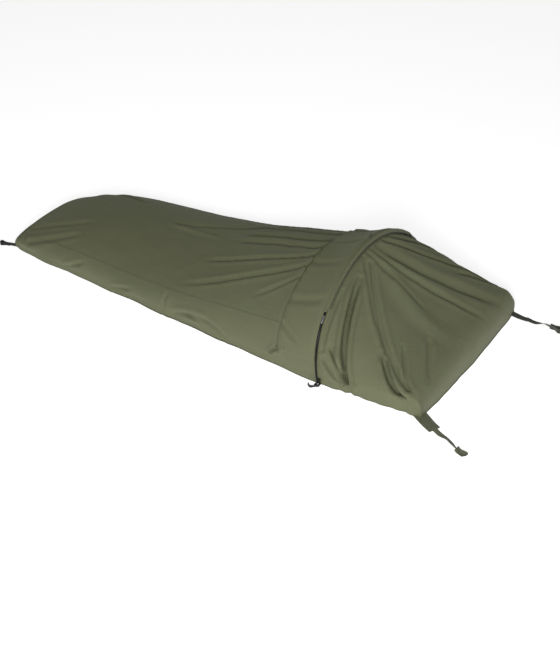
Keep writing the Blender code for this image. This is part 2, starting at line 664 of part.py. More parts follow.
def build_hoop_feet():
    """Webbing tab with a metal eyelet under each pole tip, and its curled tail."""
    for name, side in (("near", -1), ("far", 1)):
        px, py = side * POLE_HALF, lean_point(0, TIP_Z, 0).y
        n = 16
        hole = circle(px, py, EYELET_R, n, math.pi / n)
        x0, x1 = side * (SKIN_HALF + GAP), side * (POLE_HALF + 0.0125)
        xa, xb = min(x0, x1), max(x0, x1)
        outer = []
        for hx, hy in circle(0, 0, 1.0, n, math.pi / n):
            k = 1 / max(abs(hx), abs(hy))
            outer.append((((xa + xb) / 2 + hx * k * (xb - xa) / 2), py + hy * k * 0.0125))
        make("hoop_tab_" + name, prism(outer, 0.0, WEB_T, (hole,)), BLACK, 0.9, smooth=False)
        prof = [(0.0034, 0.0004), (0.0058, 0.0), (0.0061, 0.0003), (0.0061, 0.0022), (0.0054, 0.0030),
                (0.0040, 0.0030), (0.0034, 0.0024)]
        make("hoop_eyelet_" + name, lathe(prof, 16, Vector((px, py, 0))), (0.62, 0.60, 0.55), 0.3, 1.0)
        path = []
        for i in range(12):
            u = i / 11
            a = math.radians(150 * u)
            path.append(Vector((side * (POLE_HALF + 0.0145 + 0.024 * math.sin(a)),
                                py - 0.016 + 0.052 * u + 0.004 * math.sin(2 * a), 0.0072)))
        make("hoop_tail_" + name, strap_body(path, 0.014, 0.0014, lambda i: 90.0), BLACK, 0.9, smooth=False)


def build_crown_loop():
    """Thin cord loop sewn just behind the sleeve at the crown."""
    x0 = 0.050
    base = flap_point(x0 / SKIN.half, 0.012)
    pts = []
    for i in range(17):
        a = math.pi * (-0.18 + 1.36 * i / 16)
        pts.append(base + Vector((0.0085 * math.cos(a), 0.0, 0.0120 + 0.0098 * math.sin(a))))
    low = min(p.z for p in pts)
    pts = [p + Vector((0, 0, base.z + 0.0016 - low)) for p in pts]
    make("crown_loop", sweep(pts, round_ring(0.0011, 8)), BLACK, 0.85, origin=(base.x, base.y, base.z))


def build_snaps():
    """Press studs that hold the flap's lower corners to the side walls."""
    for name, side in (("near", -1), ("far", 1)):
        s, d = FLAP_W - 0.030, side * (FLAP_D - 0.022)
        p, out = flap_cell(d, s)
        cap = [(0.0, 0.0003), (0.0062, 0.0003), (0.0066, 0.0010), (0.0050, 0.0020), (0.0, 0.0024)]
        make("flap_snap_cap_" + name, lathe(cap, 12, p, out), BLACK, 0.35, origin=FLAP_AXIS)
        d = min((abs((section(side * f, s) - p).length), side * f)
                for f in [0.6 + 0.4 * i / 200 for i in range(201)])[1]
        sock = [(0.0, 0.0004), (0.0050, 0.0004), (0.0050, 0.0014), (0.0022, 0.0014), (0.0022, 0.0024),
                (0.0, 0.0024)]
        make("flap_snap_socket_" + name, lathe(sock, 12, section(d, s), outward(d, s)),
             (0.55, 0.53, 0.48), 0.35, 1.0)


clear_scene()
build_floor()
build_walls()
build_shell()
build_foot_wall()
build_head_band()
build_hood()
build_zip()
build_flap()
build_hoop()
build_hoop_feet()
build_corners()
build_crown_loop()
build_snaps()
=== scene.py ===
"""Looks of the hooped bivy sack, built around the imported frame: draped fabric panels with their seams,
the sleeved hoop, the hidden zip, the storm flap, and the stake straps."""
import json
import math

import bmesh
import bpy
import numpy as np
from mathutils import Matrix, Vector

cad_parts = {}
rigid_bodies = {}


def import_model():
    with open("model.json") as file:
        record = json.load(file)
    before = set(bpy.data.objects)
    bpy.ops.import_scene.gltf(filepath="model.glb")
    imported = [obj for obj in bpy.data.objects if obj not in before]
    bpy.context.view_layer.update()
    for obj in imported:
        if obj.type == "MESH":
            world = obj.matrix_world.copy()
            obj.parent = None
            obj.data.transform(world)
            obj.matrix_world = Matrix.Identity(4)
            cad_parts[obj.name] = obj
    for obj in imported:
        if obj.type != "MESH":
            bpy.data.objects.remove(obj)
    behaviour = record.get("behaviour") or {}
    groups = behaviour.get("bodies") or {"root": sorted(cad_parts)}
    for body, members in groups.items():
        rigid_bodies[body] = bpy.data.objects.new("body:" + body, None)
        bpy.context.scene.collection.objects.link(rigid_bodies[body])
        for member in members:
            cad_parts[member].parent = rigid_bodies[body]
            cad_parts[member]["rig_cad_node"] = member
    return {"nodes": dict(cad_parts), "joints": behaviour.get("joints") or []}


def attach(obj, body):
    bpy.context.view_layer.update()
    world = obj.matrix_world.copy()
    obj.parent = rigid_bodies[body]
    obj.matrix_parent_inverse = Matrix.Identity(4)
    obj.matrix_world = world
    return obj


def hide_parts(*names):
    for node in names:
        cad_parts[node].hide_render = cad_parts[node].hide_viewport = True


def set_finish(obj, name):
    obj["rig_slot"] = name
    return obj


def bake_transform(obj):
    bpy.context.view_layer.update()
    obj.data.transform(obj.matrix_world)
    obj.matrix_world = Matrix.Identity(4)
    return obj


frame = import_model()
PIVOT = {joint["name"]: joint["pos_m"] for joint in frame["joints"]}
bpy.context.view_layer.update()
for other in list(bpy.data.objects):         # the factory scene's own cube, light and camera
    if other.name in ("Cube", "Light", "Camera") and "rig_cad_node" not in other:
        bpy.data.objects.remove(other, do_unlink=True)

# ---------------------------------------------------------------- camera
AZ, EL, DIST = math.radians(-57.755), math.radians(34.918), 6.2137
TARGET = Vector((-0.17639, -0.21842, 0.0))
BACK = Vector((math.sin(AZ) * math.cos(EL), -math.cos(AZ) * math.cos(EL), math.sin(EL)))
camera = bpy.data.objects.new("camera", bpy.data.cameras.new("camera"))
bpy.context.scene.collection.objects.link(camera)
camera.data.lens, camera.data.sensor_width = 76.95, 36.0
camera.location = TARGET + DIST * BACK
camera.rotation_mode = "QUATERNION"
camera.rotation_quaternion = (-BACK).to_track_quat("-Z", "Y")
bpy.context.scene.camera = camera

# ---------------------------------------------------------------- driving dimensions, in metres
SHIFT = np.array([0.0369, 0.0859, 0.0])      # from the hoop's middle line to the row frame
HEAD_Y, FOOT_Y, HOOP_Y = -1.130, 1.170, -0.660
LEAN = math.atan(0.118)                      # the hoop leans this much to the foot
POLE_HALF, POLE_CROWN, POLE_R, ARC_SIDE_X, TIP_Z = 0.480, 0.430, 0.564, 0.395, 0.0045
HEAD_HALF, FOOT_NEAR, FOOT_FAR = 0.4530, 0.332, 0.262
SKIN_IN, LIP_H, SEAM = 0.0105, 0.030, 0.70
HOOD_L = HOOP_Y - HEAD_Y
HOOD_END_H, HEAD_BOW, HEAD_LIP = 0.122, 0.014, 0.078
ZIP_S, FLAT_S, ZIP_HALF, FLAP_DROP_S = 0.016, 0.036, 43.0, 0.026
FLAP_W, FLAP_HEM_H, FLAP_D = 0.195, 0.367, 0.89
FOOT_S = FOOT_Y - HOOP_Y - 0.045
FLOOR_Z = 0.0023


# ---------------------------------------------------------------- the sack's surface
def smooth(a, b, v):
    t = np.clip((v - a) / (b - a), 0.0, 1.0)
    return t * t * (3 - 2 * t)


def arch(inset):
    """Three-centred arch, `inset` inside the pole's centreline."""
    th = math.asin(ARC_SIDE_X / POLE_R)
    zc = POLE_CROWN - POLE_R
    px, pz = ARC_SIDE_X, zc + POLE_R * math.cos(th)
    dx, dz = -math.sin(th), -math.cos(th)
    vx, vz = px - POLE_HALF, pz - TIP_Z
    r = -(vx * vx + vz * vz) / (2 * (vx * dx + vz * dz))
    cx, cz, r1, r2 = px + dx * r, pz + dz * r, POLE_R - inset, r - inset
    low = math.asin((LIP_H - cz) / r2) if inset else math.asin(max(-1.0, (TIP_Z - cz) / r))
    return dict(zc=zc, th=th, cx=cx, cz=cz, r1=r1, r2=r2, half=r1 * th + r2 * (math.pi / 2 - th - low))


def arch_at(a, d):
    """(x, z) at signed distance d from the crown."""
    s, sign = np.abs(d), np.where(d >= 0, 1.0, -1.0)
    top = s <= a["r1"] * a["th"]
    u = s / a["r1"]
    v = (math.pi / 2 - a["th"]) - (s - a["r1"] * a["th"]) / a["r2"]
    x = np.where(top, a["r1"] * np.sin(u), a["cx"] + a["r2"] * np.cos(v))
    z = np.where(top, a["zc"] + a["r1"] * np.cos(u), a["cz"] + a["r2"] * np.sin(v))
    return sign * x, z


POLE, SKIN, FLAP = arch(0.0), arch(SKIN_IN), arch(1e-6)
SKIN_HALF = float(abs(arch_at(SKIN, np.array(SKIN["half"]))[0]))
SKIN_TOP = float(arch_at(SKIN, np.array(0.0))[1])
FLAP_HALF = float(abs(arch_at(FLAP, np.array(FLAP["half"]))[0]))
RIDGE_S = (0.0, FLAT_S, 0.08, 0.195, 0.30, 0.50, 0.80, 1.10, 1.35, 1.60, 1.76, 1.83)
RIDGE_H = (SKIN_TOP, SKIN_TOP, 0.394, 0.350, 0.320, 0.276, 0.205, 0.178, 0.178, 0.152, 0.112, 0.085)


def ridge_table():
    """The shell's ridge height as a smooth monotone curve, sampled along the sack."""
    s, h = np.array(RIDGE_S), np.array(RIDGE_H)
    d = np.diff(h) / np.diff(s)
    m = np.zeros(len(s))
    for i in range(2, len(s) - 1):
        m[i] = 0.0 if d[i - 1] * d[i] <= 0 else 2 * d[i - 1] * d[i] / (d[i - 1] + d[i])
    m[1], m[-1] = -0.75, -0.35
    out_s = np.linspace(0, s[-1], 900)
    k = np.clip(np.searchsorted(s, out_s, side="right") - 1, 0, len(s) - 2)
    w = s[k + 1] - s[k]
    t = (out_s - s[k]) / w
    out_h = ((2 * t ** 3 - 3 * t * t + 1) * h[k] + (t ** 3 - 2 * t * t + t) * w * m[k]
             + (3 * t * t - 2 * t ** 3) * h[k + 1] + (t ** 3 - t * t) * w * m[k + 1])
    return out_s, out_h


RS, RH = ridge_table()


def half_width(s, side):
    """Half width s behind the hoop (ahead of it where s is negative) on side -1 or +1."""
    head = SKIN_HALF + (HEAD_HALF - SKIN_HALF) * (-s / HOOD_L)
    foot = np.where(side < 0, FOOT_NEAR, FOOT_FAR)
    w = SKIN_HALF + (foot - SKIN_HALF) * np.maximum(0.0, s - FLAT_S) / (FOOT_S - FLAT_S)
    rad, cut = np.where(side < 0, 0.07, 0.26), np.where(side < 0, 0.016, 0.075)
    u = np.maximum(0.0, (s - (FOOT_S - rad)) / rad)
    return np.where(s < 0, head, w - cut * u * u)


def lean_point(x, zeta, s, lean=1.0):
    y = HOOP_Y + s + math.sin(LEAN) * zeta * lean
    z = zeta * (1 - (1 - math.cos(LEAN)) * lean)
    x, y, z = np.broadcast_arrays(x, y, z)
    return np.stack([x, y, z], -1) + SHIFT


def section(d, s):
    """Point of the sack's skin in the row frame: d from -1 to 1 across, s behind the hoop."""
    d, s = np.broadcast_arrays(np.asarray(d, float), np.asarray(s, float))
    side = np.where(d < 0, -1, 1)
    x, z = arch_at(SKIN, d * SKIN["half"])
    k = half_width(s, side) / SKIN_HALF
    u = np.maximum(0.0, -s / HOOD_L)
    bow = HEAD_BOW * u ** 3 * (1 - (x / SKIN_HALF) ** 2)
    lip = LIP_H + (HEAD_LIP - LIP_H) * u
    h_hood = 1 + ((HOOD_END_H - HEAD_LIP) / (SKIN_TOP - LIP_H) - 1) * u
    h_body = (np.interp(s, RS, RH) - LIP_H) / (SKIN_TOP - LIP_H)
    h = np.where(s < 0, h_hood, h_body)
    lean = np.where(s < 0, 1 - u, 1 - smooth(0.15, 0.75, s))
    p = lean_point(x * k, lip + (z - LIP_H) * h, s - bow, lean)
    p[..., 1] -= np.where(s > 0, 0.080 * smooth(0.9, FOOT_S, s) * (0.5 + 0.5 * x / SKIN_HALF), 0.0)
    return p


def flap_surface(d, s, rise=0.0):
    """Storm flap: over the zip, then drooping to its hem."""
    d, s = np.broadcast_arrays(np.asarray(d, float), np.asarray(s, float))
    x, z = arch_at(FLAP, d * FLAP["half"])
    k = (half_width(s, np.where(d < 0, -1, 1)) + SKIN_IN + rise) / FLAP_HALF
    drop = 1 - (1 - np.clip((s - FLAP_DROP_S) / (FLAP_W - FLAP_DROP_S), 0.0, 1.0)) ** 1.6
    top = POLE_CROWN + rise + (FLAP_HEM_H - POLE_CROWN) * drop
    return lean_point(x * k, LIP_H + (z - LIP_H) * (top - LIP_H) / (POLE_CROWN - LIP_H), s)


def unit(v):
    return v / np.maximum(np.linalg.norm(v, axis=-1, keepdims=True), 1e-12)


def grid_normals(p):
    """Outward normals of a grid of points whose columns run across from -X to +X and rows along +Y."""
    n = np.cross(np.gradient(p, axis=1), np.gradient(p, axis=0))
    return unit(n)


def outward(p):
    n = grid_normals(p)
    return n if n[..., 2].mean() > 0 else -n


# ---------------------------------------------------------------- meshes
def new_object(name, mesh, mat):
    obj = bpy.data.objects.new(name, mesh)
    bpy.context.scene.collection.objects.link(obj)
    mesh.materials.clear()
    mesh.materials.append(mat)
    return obj


def cloth_mesh(name, p, mat, uv=None, smooth_shade=True):
    """Quad sheet from a grid of points; its UVs are metres along the cloth."""
    nr, nc = p.shape[:2]
    idx = np.arange(nr * nc).reshape(nr, nc)
    quads = np.stack([idx[:-1, :-1], idx[:-1, 1:], idx[1:, 1:], idx[1:, :-1]], -1).reshape(-1, 4)
    mesh = bpy.data.meshes.new(name)
    mesh.from_pydata(p.reshape(-1, 3).tolist(), [], quads.tolist())
    if uv is None:
        du = np.linalg.norm(np.diff(p, axis=1), axis=-1)
        dv = np.linalg.norm(np.diff(p, axis=0), axis=-1)
        u = np.concatenate([np.zeros((nr, 1)), np.cumsum(du, axis=1)], axis=1)
        u = u - u[:, nc // 2:nc // 2 + 1]
        v = np.concatenate([np.zeros((1, nc)), np.cumsum(dv, axis=0)], axis=0)
        uv = np.stack([u, np.broadcast_to(v.mean(axis=1, keepdims=True), u.shape)], -1)
    layer = mesh.uv_layers.new(name="cloth")
    layer.data.foreach_set("uv", uv.reshape(-1, 2)[quads.reshape(-1)].astype(np.float32).ravel())
    if smooth_shade:
        mesh.polygons.foreach_set("use_smooth", np.ones(len(mesh.polygons), bool))
    mesh.update()
    return new_object(name, mesh, mat)


def tube_mesh(name, pts, radius, mat, sides=16, bore=None, up=(0, 1, 0), ring=None):
    """Closed tube along points, hollow where `bore` is given; `ring` can give its own (u, v) section."""
    pts = np.asarray(pts, float)
    tan = unit(np.gradient(pts, axis=0))
    u = np.asarray(up, float) - (tan @ np.asarray(up, float))[:, None] * tan
    u = unit(u)
    v = np.cross(tan, u)
    ang = np.linspace(0, 2 * np.pi, sides, endpoint=False)
    if ring is None:
        ring = np.stack([np.cos(ang), np.sin(ang)], -1)
    r = np.broadcast_to(np.asarray(radius, float), (len(pts),))

    def loop(k):
        return (pts[:, None, :] + (k[:, None, None] * (ring[None, :, :1] * u[:, None, :]
                                                     + ring[None, :, 1:] * v[:, None, :])))
    m, n = len(ring), len(pts)
    outer = loop(r)
    verts, faces = outer.reshape(-1, 3).tolist(), []
    for i in range(n - 1):
        for j in range(m):
            k = (j + 1) % m
            faces.append((i * m + j, i * m + k, (i + 1) * m + k, (i + 1) * m + j))
    if bore is None:
        faces += [tuple(range(m))[::-1], tuple((n - 1) * m + j for j in range(m))]
    else:
        base = len(verts)
        verts += loop(np.full(n, bore)).reshape(-1, 3).tolist()
        for i in range(n - 1):
            here, there = base + i * m, base + (i + 1) * m
            for j in range(m):
                k = (j + 1) % m
                faces.append((here + k, here + j, there + j, there + k))
        for j in range(m):
            k = (j + 1) % m
            faces.append((j, base + j, base + k, k))
            e = (n - 1) * m
            faces.append((e + k, base + e + k, base + e + j, e + j))
    mesh = bpy.data.meshes.new(name)
    mesh.from_pydata(verts, [], faces)
    mesh.update()
    bm = bmesh.new()
    bm.from_mesh(mesh)
    bmesh.ops.recalc_face_normals(bm, faces=bm.faces)
    bm.to_mesh(mesh)
    bm.free()
    mesh.shade_smooth()
    mesh.set_sharp_from_angle(angle=math.radians(50))
    return new_object(name, mesh, mat)


def ribbon(name, pts, wide, thin, width, thickness, mat, rib=0.0):
    """Webbing strip with rounded edges along points: `wide` and `thin` are its directions at each point."""
    pts, wide, thin = (np.asarray(a, float) for a in (pts, wide, thin))
    cols = 13
    x = np.linspace(-1, 1, cols)
    # a flat strip with rounded selvedges
    h = np.sqrt(np.clip(1 - np.clip((np.abs(x) - 0.90) / 0.10, 0, 1) ** 2, 0.04, 1))
    top = np.stack([x, h], -1)
    low = np.stack([x[::-1][1:-1], -h[::-1][1:-1]], -1)
    ring = np.concatenate([top, low])
    n, m = len(pts), len(ring)
    verts = (pts[:, None] + ring[None, :, :1] * wide[:, None] * width / 2
             + ring[None, :, 1:] * thin[:, None] * thickness / 2)
    faces = [(i * m + j, i * m + (j + 1) % m, (i + 1) * m + (j + 1) % m, (i + 1) * m + j)
             for i in range(n - 1) for j in range(m)]
    faces += [tuple(range(m)), tuple((n - 1) * m + j for j in range(m))]
    mesh = bpy.data.meshes.new(name)
    mesh.from_pydata(verts.reshape(-1, 3).tolist(), [], faces)
    along = np.concatenate([[0.0], np.cumsum(np.linalg.norm(np.diff(pts, axis=0), axis=1))])
    uvv = np.stack([np.broadcast_to(ring[None, :, 0] * width / 2, (n, m)),
                    np.broadcast_to(along[:, None], (n, m))], -1).reshape(-1, 2)
    layer = mesh.uv_layers.new(name="cloth")
    loops = np.array([l.vertex_index for l in mesh.loops])
    layer.data.foreach_set("uv", uvv[loops].astype(np.float32).ravel())
    bm = bmesh.new()
    bm.from_mesh(mesh)
    bmesh.ops.recalc_face_normals(bm, faces=bm.faces)
    bm.to_mesh(mesh)
    bm.free()
    mesh.shade_smooth()
    mesh.set_sharp_from_angle(angle=math.radians(60))
    return new_object(name, mesh, mat)


def stitches(name, lines, mat, pitch=0.0046, length=0.0032, radius=0.00035):
    """Rows of lockstitch: short rounded threads lying along each (points, normals) line."""
    verts, faces = [], []
    prof = ((-0.5, 0.0), (-0.42, 0.8), (0.0, 1.0), (0.42, 0.8), (0.5, 0.0))
    for pts, nrm in lines:
        pts, nrm = np.asarray(pts, float), np.asarray(nrm, float)
        at = np.concatenate([[0.0], np.cumsum(np.linalg.norm(np.diff(pts, axis=0), axis=1))])
        where = np.arange(pitch / 2, at[-1] - length / 2, pitch)
        if not len(where):
            continue
        mid = np.stack([np.interp(where, at, pts[:, k]) for k in range(3)], -1)
        fwd = np.stack([np.interp(where + 5e-4, at, pts[:, k]) for k in range(3)], -1) - mid
        nn = unit(np.stack([np.interp(where, at, nrm[:, k]) for k in range(3)], -1))
        t = unit(fwd)
        b = unit(np.cross(nn, t))
        for c, tt, bb, nv in zip(mid, t, b, nn):
            base = len(verts)
            for ax, rr in prof[1:-1]:
                for a in (0.15, 0.85, 1.57, 2.29, 2.99):
                    rim = math.cos(a) * bb + 1.3 * math.sin(a) * nv
                    verts.append(tuple(c + tt * ax * length + rr * radius * rim))
            for i in range(2):
                for j in range(4):
                    p = base + i * 5 + j
                    faces.append((p, p + 1, p + 6, p + 5))
            verts.append(tuple(c - tt * 0.5 * length))
            verts.append(tuple(c + tt * 0.5 * length))
            for j in range(4):
                faces.append((base + 15, base + j + 1, base + j))
                faces.append((base + 16, base + 10 + j, base + 11 + j))
    mesh = bpy.data.meshes.new(name)
    mesh.from_pydata(verts, [], faces)
    mesh.shade_smooth()
    return new_object(name, mesh, mat)


def thicken(obj, t, offset=-1.0):
    m = obj.modifiers.new("thickness", "SOLIDIFY")
    m.thickness, m.offset, m.use_even_offset = t, offset, False
    return obj


# ---------------------------------------------------------------- folds
def distance_to(p, line):
    """Distance of every point of a grid to a polyline, and how far along it (0 to 1) the nearest place is."""
    seg = np.linalg.norm(np.diff(line, axis=0), axis=1)
    start = np.concatenate([[0.0], np.cumsum(seg)])
    best, where = np.full(p.shape[:-1], 1e9), np.zeros(p.shape[:-1])
    for i in range(len(line) - 1):
        a, ab = line[i], line[i + 1] - line[i]
        t = np.clip(((p - a) @ ab) / (ab @ ab), 0, 1)
        r = np.linalg.norm(p - (a + t[..., None] * ab), axis=-1)
        near = r < best
        best = np.where(near, r, best)
        where = np.where(near, (start[i] + t * seg[i]) / start[-1], where)
    return best, where


def fold_height(p, surface, folds):
    """Height added along the normal by a list of folds: (start, end, bow, depth, width, ends).

    Start and end are (d, s); bow is how far d swings out at mid-length. A positive depth is a valley
    with a soft shoulder on each side, a negative one a ridge."""
    out = np.zeros(p.shape[:-1])
    k = np.linspace(0, 1, 25)
    for start, end, bow, depth, width, (e0, e1) in folds:
        d = start[0] + (end[0] - start[0]) * k + 4 * bow * k * (1 - k)
        s = start[1] + (end[1] - start[1]) * k
        dist, t = distance_to(p, surface(d, s))
        env = (e0 + (1 - e0) * smooth(0.0, 0.22, t)) * (e1 + (1 - e1) * smooth(1.0, 0.78, t))
        x = dist / width
        out -= depth * env * (np.exp(-x * x) - 0.42 * np.exp(-((x - 1.9) / 1.05) ** 2))
    return out


def ripples(p, seed, amp, scale, count=14, stretch=(1.0, 1.0, 1.0)):
    """Gentle seeded undulation of cloth: a sum of slow waves in random directions."""
    rng = np.random.RandomState(seed)
    out = np.zeros(p.shape[:-1])
    for _ in range(count):
        k = rng.normal(size=3) * np.array(stretch)
        k = k / np.linalg.norm(k) * (2 * np.pi / (scale * rng.uniform(0.7, 1.8)))
        out += np.sin(p @ k + rng.uniform(0, 6.28)) * rng.uniform(0.4, 1.0)
    return amp * out / math.sqrt(count)


def settle(obj, hold, frames, gravity, slack, bend=0.05):
    """Short cloth simulation, kept in the mesh: `hold` is each point's pinning from 0 to 1."""
    scene = bpy.context.scene
    group = obj.vertex_groups.new(name="hold")
    hold = np.clip(np.asarray(hold, float).ravel(), 0, 1)
    steps = np.round(hold * 40) / 40
    for w in np.unique(steps):
        group.add(np.nonzero(steps == w)[0].tolist(), float(w), "REPLACE")
    mod = obj.modifiers.new("drape", "CLOTH")
    c = mod.settings
    c.quality, c.mass, c.air_damping = 6, 0.12, 6.0
    c.tension_stiffness = c.compression_stiffness = 22.0
    c.shear_stiffness, c.bending_stiffness = 12.0, bend
    c.tension_damping = c.compression_damping = c.shear_damping = 12.0
    c.vertex_group_mass, c.pin_stiffness = "hold", 1.2
    c.shrink_min = c.shrink_max = -slack
    c.effector_weights.gravity = gravity
    mod.collision_settings.use_collision = False
    mod.collision_settings.use_self_collision = False
    mod.point_cache.frame_start, mod.point_cache.frame_end = 1, frames + 2
    for f in range(1, frames + 1):
        scene.frame_set(f)
    dg = bpy.context.evaluated_depsgraph_get()
    done = np.zeros(len(obj.data.vertices) * 3, np.float32)
    obj.evaluated_get(dg).data.vertices.foreach_get("co", done)
    obj.modifiers.remove(mod)
    obj.vertex_groups.remove(group)
    scene.frame_set(1)
    before = np.zeros_like(done)
    obj.data.vertices.foreach_get("co", before)
    step = (done - before).reshape(-1, 3)
    size = np.linalg.norm(step, axis=1, keepdims=True)
    step *= np.minimum(1.0, 0.022 / np.maximum(size, 1e-9))       # no point moves more than 22 mm
    step[~np.isfinite(step)] = 0.0
    obj.data.vertices.foreach_set("co", (before + step.ravel()).astype(np.float32))
    obj.data.update()
    return obj


def press_creases(obj, shape, height):
    """Press a grid's creases in again once it has settled; returns its points."""
    co = np.zeros(len(obj.data.vertices) * 3)
    obj.data.vertices.foreach_get("co", co)
    grid = co.reshape(shape)
    grid = grid + outward(grid) * height[..., None]
    obj.data.vertices.foreach_set("co", grid.ravel().astype(np.float32))
    obj.data.update()
    return grid


# ---------------------------------------------------------------- materials
class Shader:
    """Small helper to wire a Principled material."""

    def __init__(self, name, rgb, rough, metal=0.0, **sockets):
        self.mat = bpy.data.materials.new(name)
        self.mat.use_nodes = True
        self.tree = self.mat.node_tree
        self.bsdf = self.tree.nodes["Principled BSDF"]
        self.rgb = rgb
        self.bsdf.inputs["Base Color"].default_value = (*rgb, 1)
        self.bsdf.inputs["Roughness"].default_value = rough
        self.bsdf.inputs["Metallic"].default_value = metal
        for key, val in sockets.items():
            self.bsdf.inputs[key.replace("_", " ")].default_value = val
        self.coord = self.node("ShaderNodeTexCoord")

    def node(self, kind, **props):
        n = self.tree.nodes.new(kind)
        for k, v in props.items():
            if k in n.inputs:
                n.inputs[k].default_value = v
            else:
                setattr(n, k, v)
        return n

    def link(self, a, b):
        self.tree.links.new(a, b)

    def noise(self, scale, detail=4.0, rough=0.55, space="Object", stretch=None):
        n = self.node("ShaderNodeTexNoise")
        n.inputs["Scale"].default_value = scale
        n.inputs["Detail"].default_value = detail
        n.inputs["Roughness"].default_value = rough
        src = self.coord.outputs[space]
        if stretch:
            m = self.node("ShaderNodeMapping")
            m.inputs["Scale"].default_value = stretch
            self.link(src, m.inputs["Vector"])
            src = m.outputs["Vector"]
        self.link(src, n.inputs["Vector"])
        return n.outputs["Fac"]

    def wave(self, pitch, direction, space="UV", turn=0.0, distort=0.0, profile="SIN"):
        n = self.node("ShaderNodeTexWave", wave_type="BANDS", bands_direction=direction, wave_profile=profile)
        n.inputs["Scale"].default_value = 0.31416 / pitch
        n.inputs["Distortion"].default_value = distort
        m = self.node("ShaderNodeMapping")
        m.inputs["Rotation"].default_value = (0, 0, turn)
        self.link(self.coord.outputs[space], m.inputs["Vector"])
        self.link(m.outputs["Vector"], n.inputs["Vector"])
        return n.outputs["Fac"]

    def math(self, op, a, b=None, c=None):
        n = self.node("ShaderNodeMath", operation=op)
        for i, v in enumerate((a, b, c)):
            if v is None:
                continue
            if isinstance(v, (int, float)):
                n.inputs[i].default_value = v
            else:
                self.link(v, n.inputs[i])
        return n.outputs[0]

    def ramp(self, fac, stops):
        n = self.node("ShaderNodeValToRGB")
        e = n.color_ramp.elements
        e[0].position, e[0].color = stops[0][0], (*stops[0][1], 1)
        e[1].position, e[1].color = stops[-1][0], (*stops[-1][1], 1)
        for pos, col in stops[1:-1]:
            x = e.new(pos)
            x.color = (*col, 1)
        self.link(fac, n.inputs["Fac"])
        return n.outputs["Color"]

    def tint(self, fac, lo, hi):
        """Base colour from lo to hi times the material's own colour."""
        stops = [(0.25, tuple(c * lo for c in self.rgb)), (0.75, tuple(c * hi for c in self.rgb))]
        self.link(self.ramp(fac, stops), self.bsdf.inputs["Base Color"])

    def rough(self, fac, lo, hi):
        n = self.node("ShaderNodeMapRange")
        n.inputs["To Min"].default_value, n.inputs["To Max"].default_value = lo, hi
        self.link(fac, n.inputs["Value"])
        self.link(n.outputs["Result"], self.bsdf.inputs["Roughness"])

    def bump(self, height, distance, strength=1.0, after=None):
        n = self.node("ShaderNodeBump")
        n.inputs["Distance"].default_value, n.inputs["Strength"].default_value = distance, strength
        self.link(height, n.inputs["Height"])
        if after:
            self.link(after, n.inputs["Normal"])
        self.link(n.outputs["Normal"], self.bsdf.inputs["Normal"])
        return n.outputs["Normal"]


def woven(name, rgb, pitch=0.00075, lo=0.93, hi=1.07, rough=0.78, crumple=0.0015):
    """Coated plain-weave cloth: over-and-under threads, fine crumple, faint shade and rubbed patches."""
    m = Shader(name, rgb, rough, Sheen_Weight=0.12, Sheen_Roughness=0.5, Specular_IOR_Level=0.32)
    m.bsdf.inputs["Sheen Tint"].default_value = (0.75, 0.77, 0.62, 1)
    broad, fine = m.noise(3.2, 5.0), m.noise(55.0, 3.0)
    shade = m.math("ADD", m.math("MULTIPLY", broad, 0.7), m.math("MULTIPLY", fine, 0.3))
    warp, weft = m.wave(pitch, "X"), m.wave(pitch, "Y")
    weave = m.math("MULTIPLY", m.math("SUBTRACT", warp, 0.5), m.math("SUBTRACT", weft, 0.5))
    shade = m.math("ADD", shade, m.math("MULTIPLY", weave, 0.22))
    m.tint(shade, lo, hi)
    m.rough(fine, rough - 0.07, rough + 0.08)
    crease = m.noise(26.0, 6.0, 0.66)
    first = m.bump(crease, crumple, 0.55)
    m.bump(m.math("ADD", m.math("MULTIPLY", weave, 2.0), m.math("MULTIPLY", m.noise(900.0, 2.0), 0.3)),
           0.00012, 0.5, after=first)
    return m.mat


def webbing(name, rgb, pitch=0.0022, rough=0.82):
    """Woven strap: slanting ribs across its width, finer lines along it, and fluff."""
    m = Shader(name, rgb, rough, Sheen_Weight=0.15, Sheen_Roughness=0.45, Specular_IOR_Level=0.3)
    rib = m.wave(pitch, "Y", turn=0.5)
    cross = m.wave(0.0011, "X")
    h = m.math("ADD", m.math("MULTIPLY", rib, 0.7), m.math("MULTIPLY", cross, 0.3))
    shade = m.math("ADD", m.math("MULTIPLY", h, 0.5), m.math("MULTIPLY", m.noise(70.0, 3.0), 0.5))
    m.tint(shade, 0.72, 1.28)
    m.rough(m.noise(90.0), rough - 0.06, rough + 0.08)
    m.bump(h, 0.0004, 0.7)
    return m.mat


def anodised(name, rgb, rough, metal=1.0):
    """Drawn tube: fine scratches along it, handling marks, and slightly rubbed high spots."""
    m = Shader(name, rgb, rough, metal, Specular_IOR_Level=0.45)
    marks, fine = m.noise(26.0, 6.0, 0.65), m.noise(420.0, 2.0)
    deep, worn = tuple(c * 0.75 for c in rgb), tuple(min(1, c * 1.5 + 0.01) for c in rgb)
    stops = [(0.30, deep), (0.62, rgb), (0.80, worn)]
    m.link(m.ramp(marks, stops), m.bsdf.inputs["Base Color"])
    m.rough(m.math("MULTIPLY", marks, fine), rough * 0.7, min(1.0, rough * 2.2))
    m.bump(fine, 0.00006, 0.35)
    return m.mat


def moulded(name, rgb, rough):
    m = Shader(name, rgb, rough, Specular_IOR_Level=0.4)
    grain = m.noise(650.0, 3.0)
    m.tint(m.noise(60.0, 4.0), 0.8, 1.3)
    m.rough(m.noise(120.0), rough - 0.06, rough + 0.12)
    m.bump(grain, 0.00008, 0.4)
    return m.mat


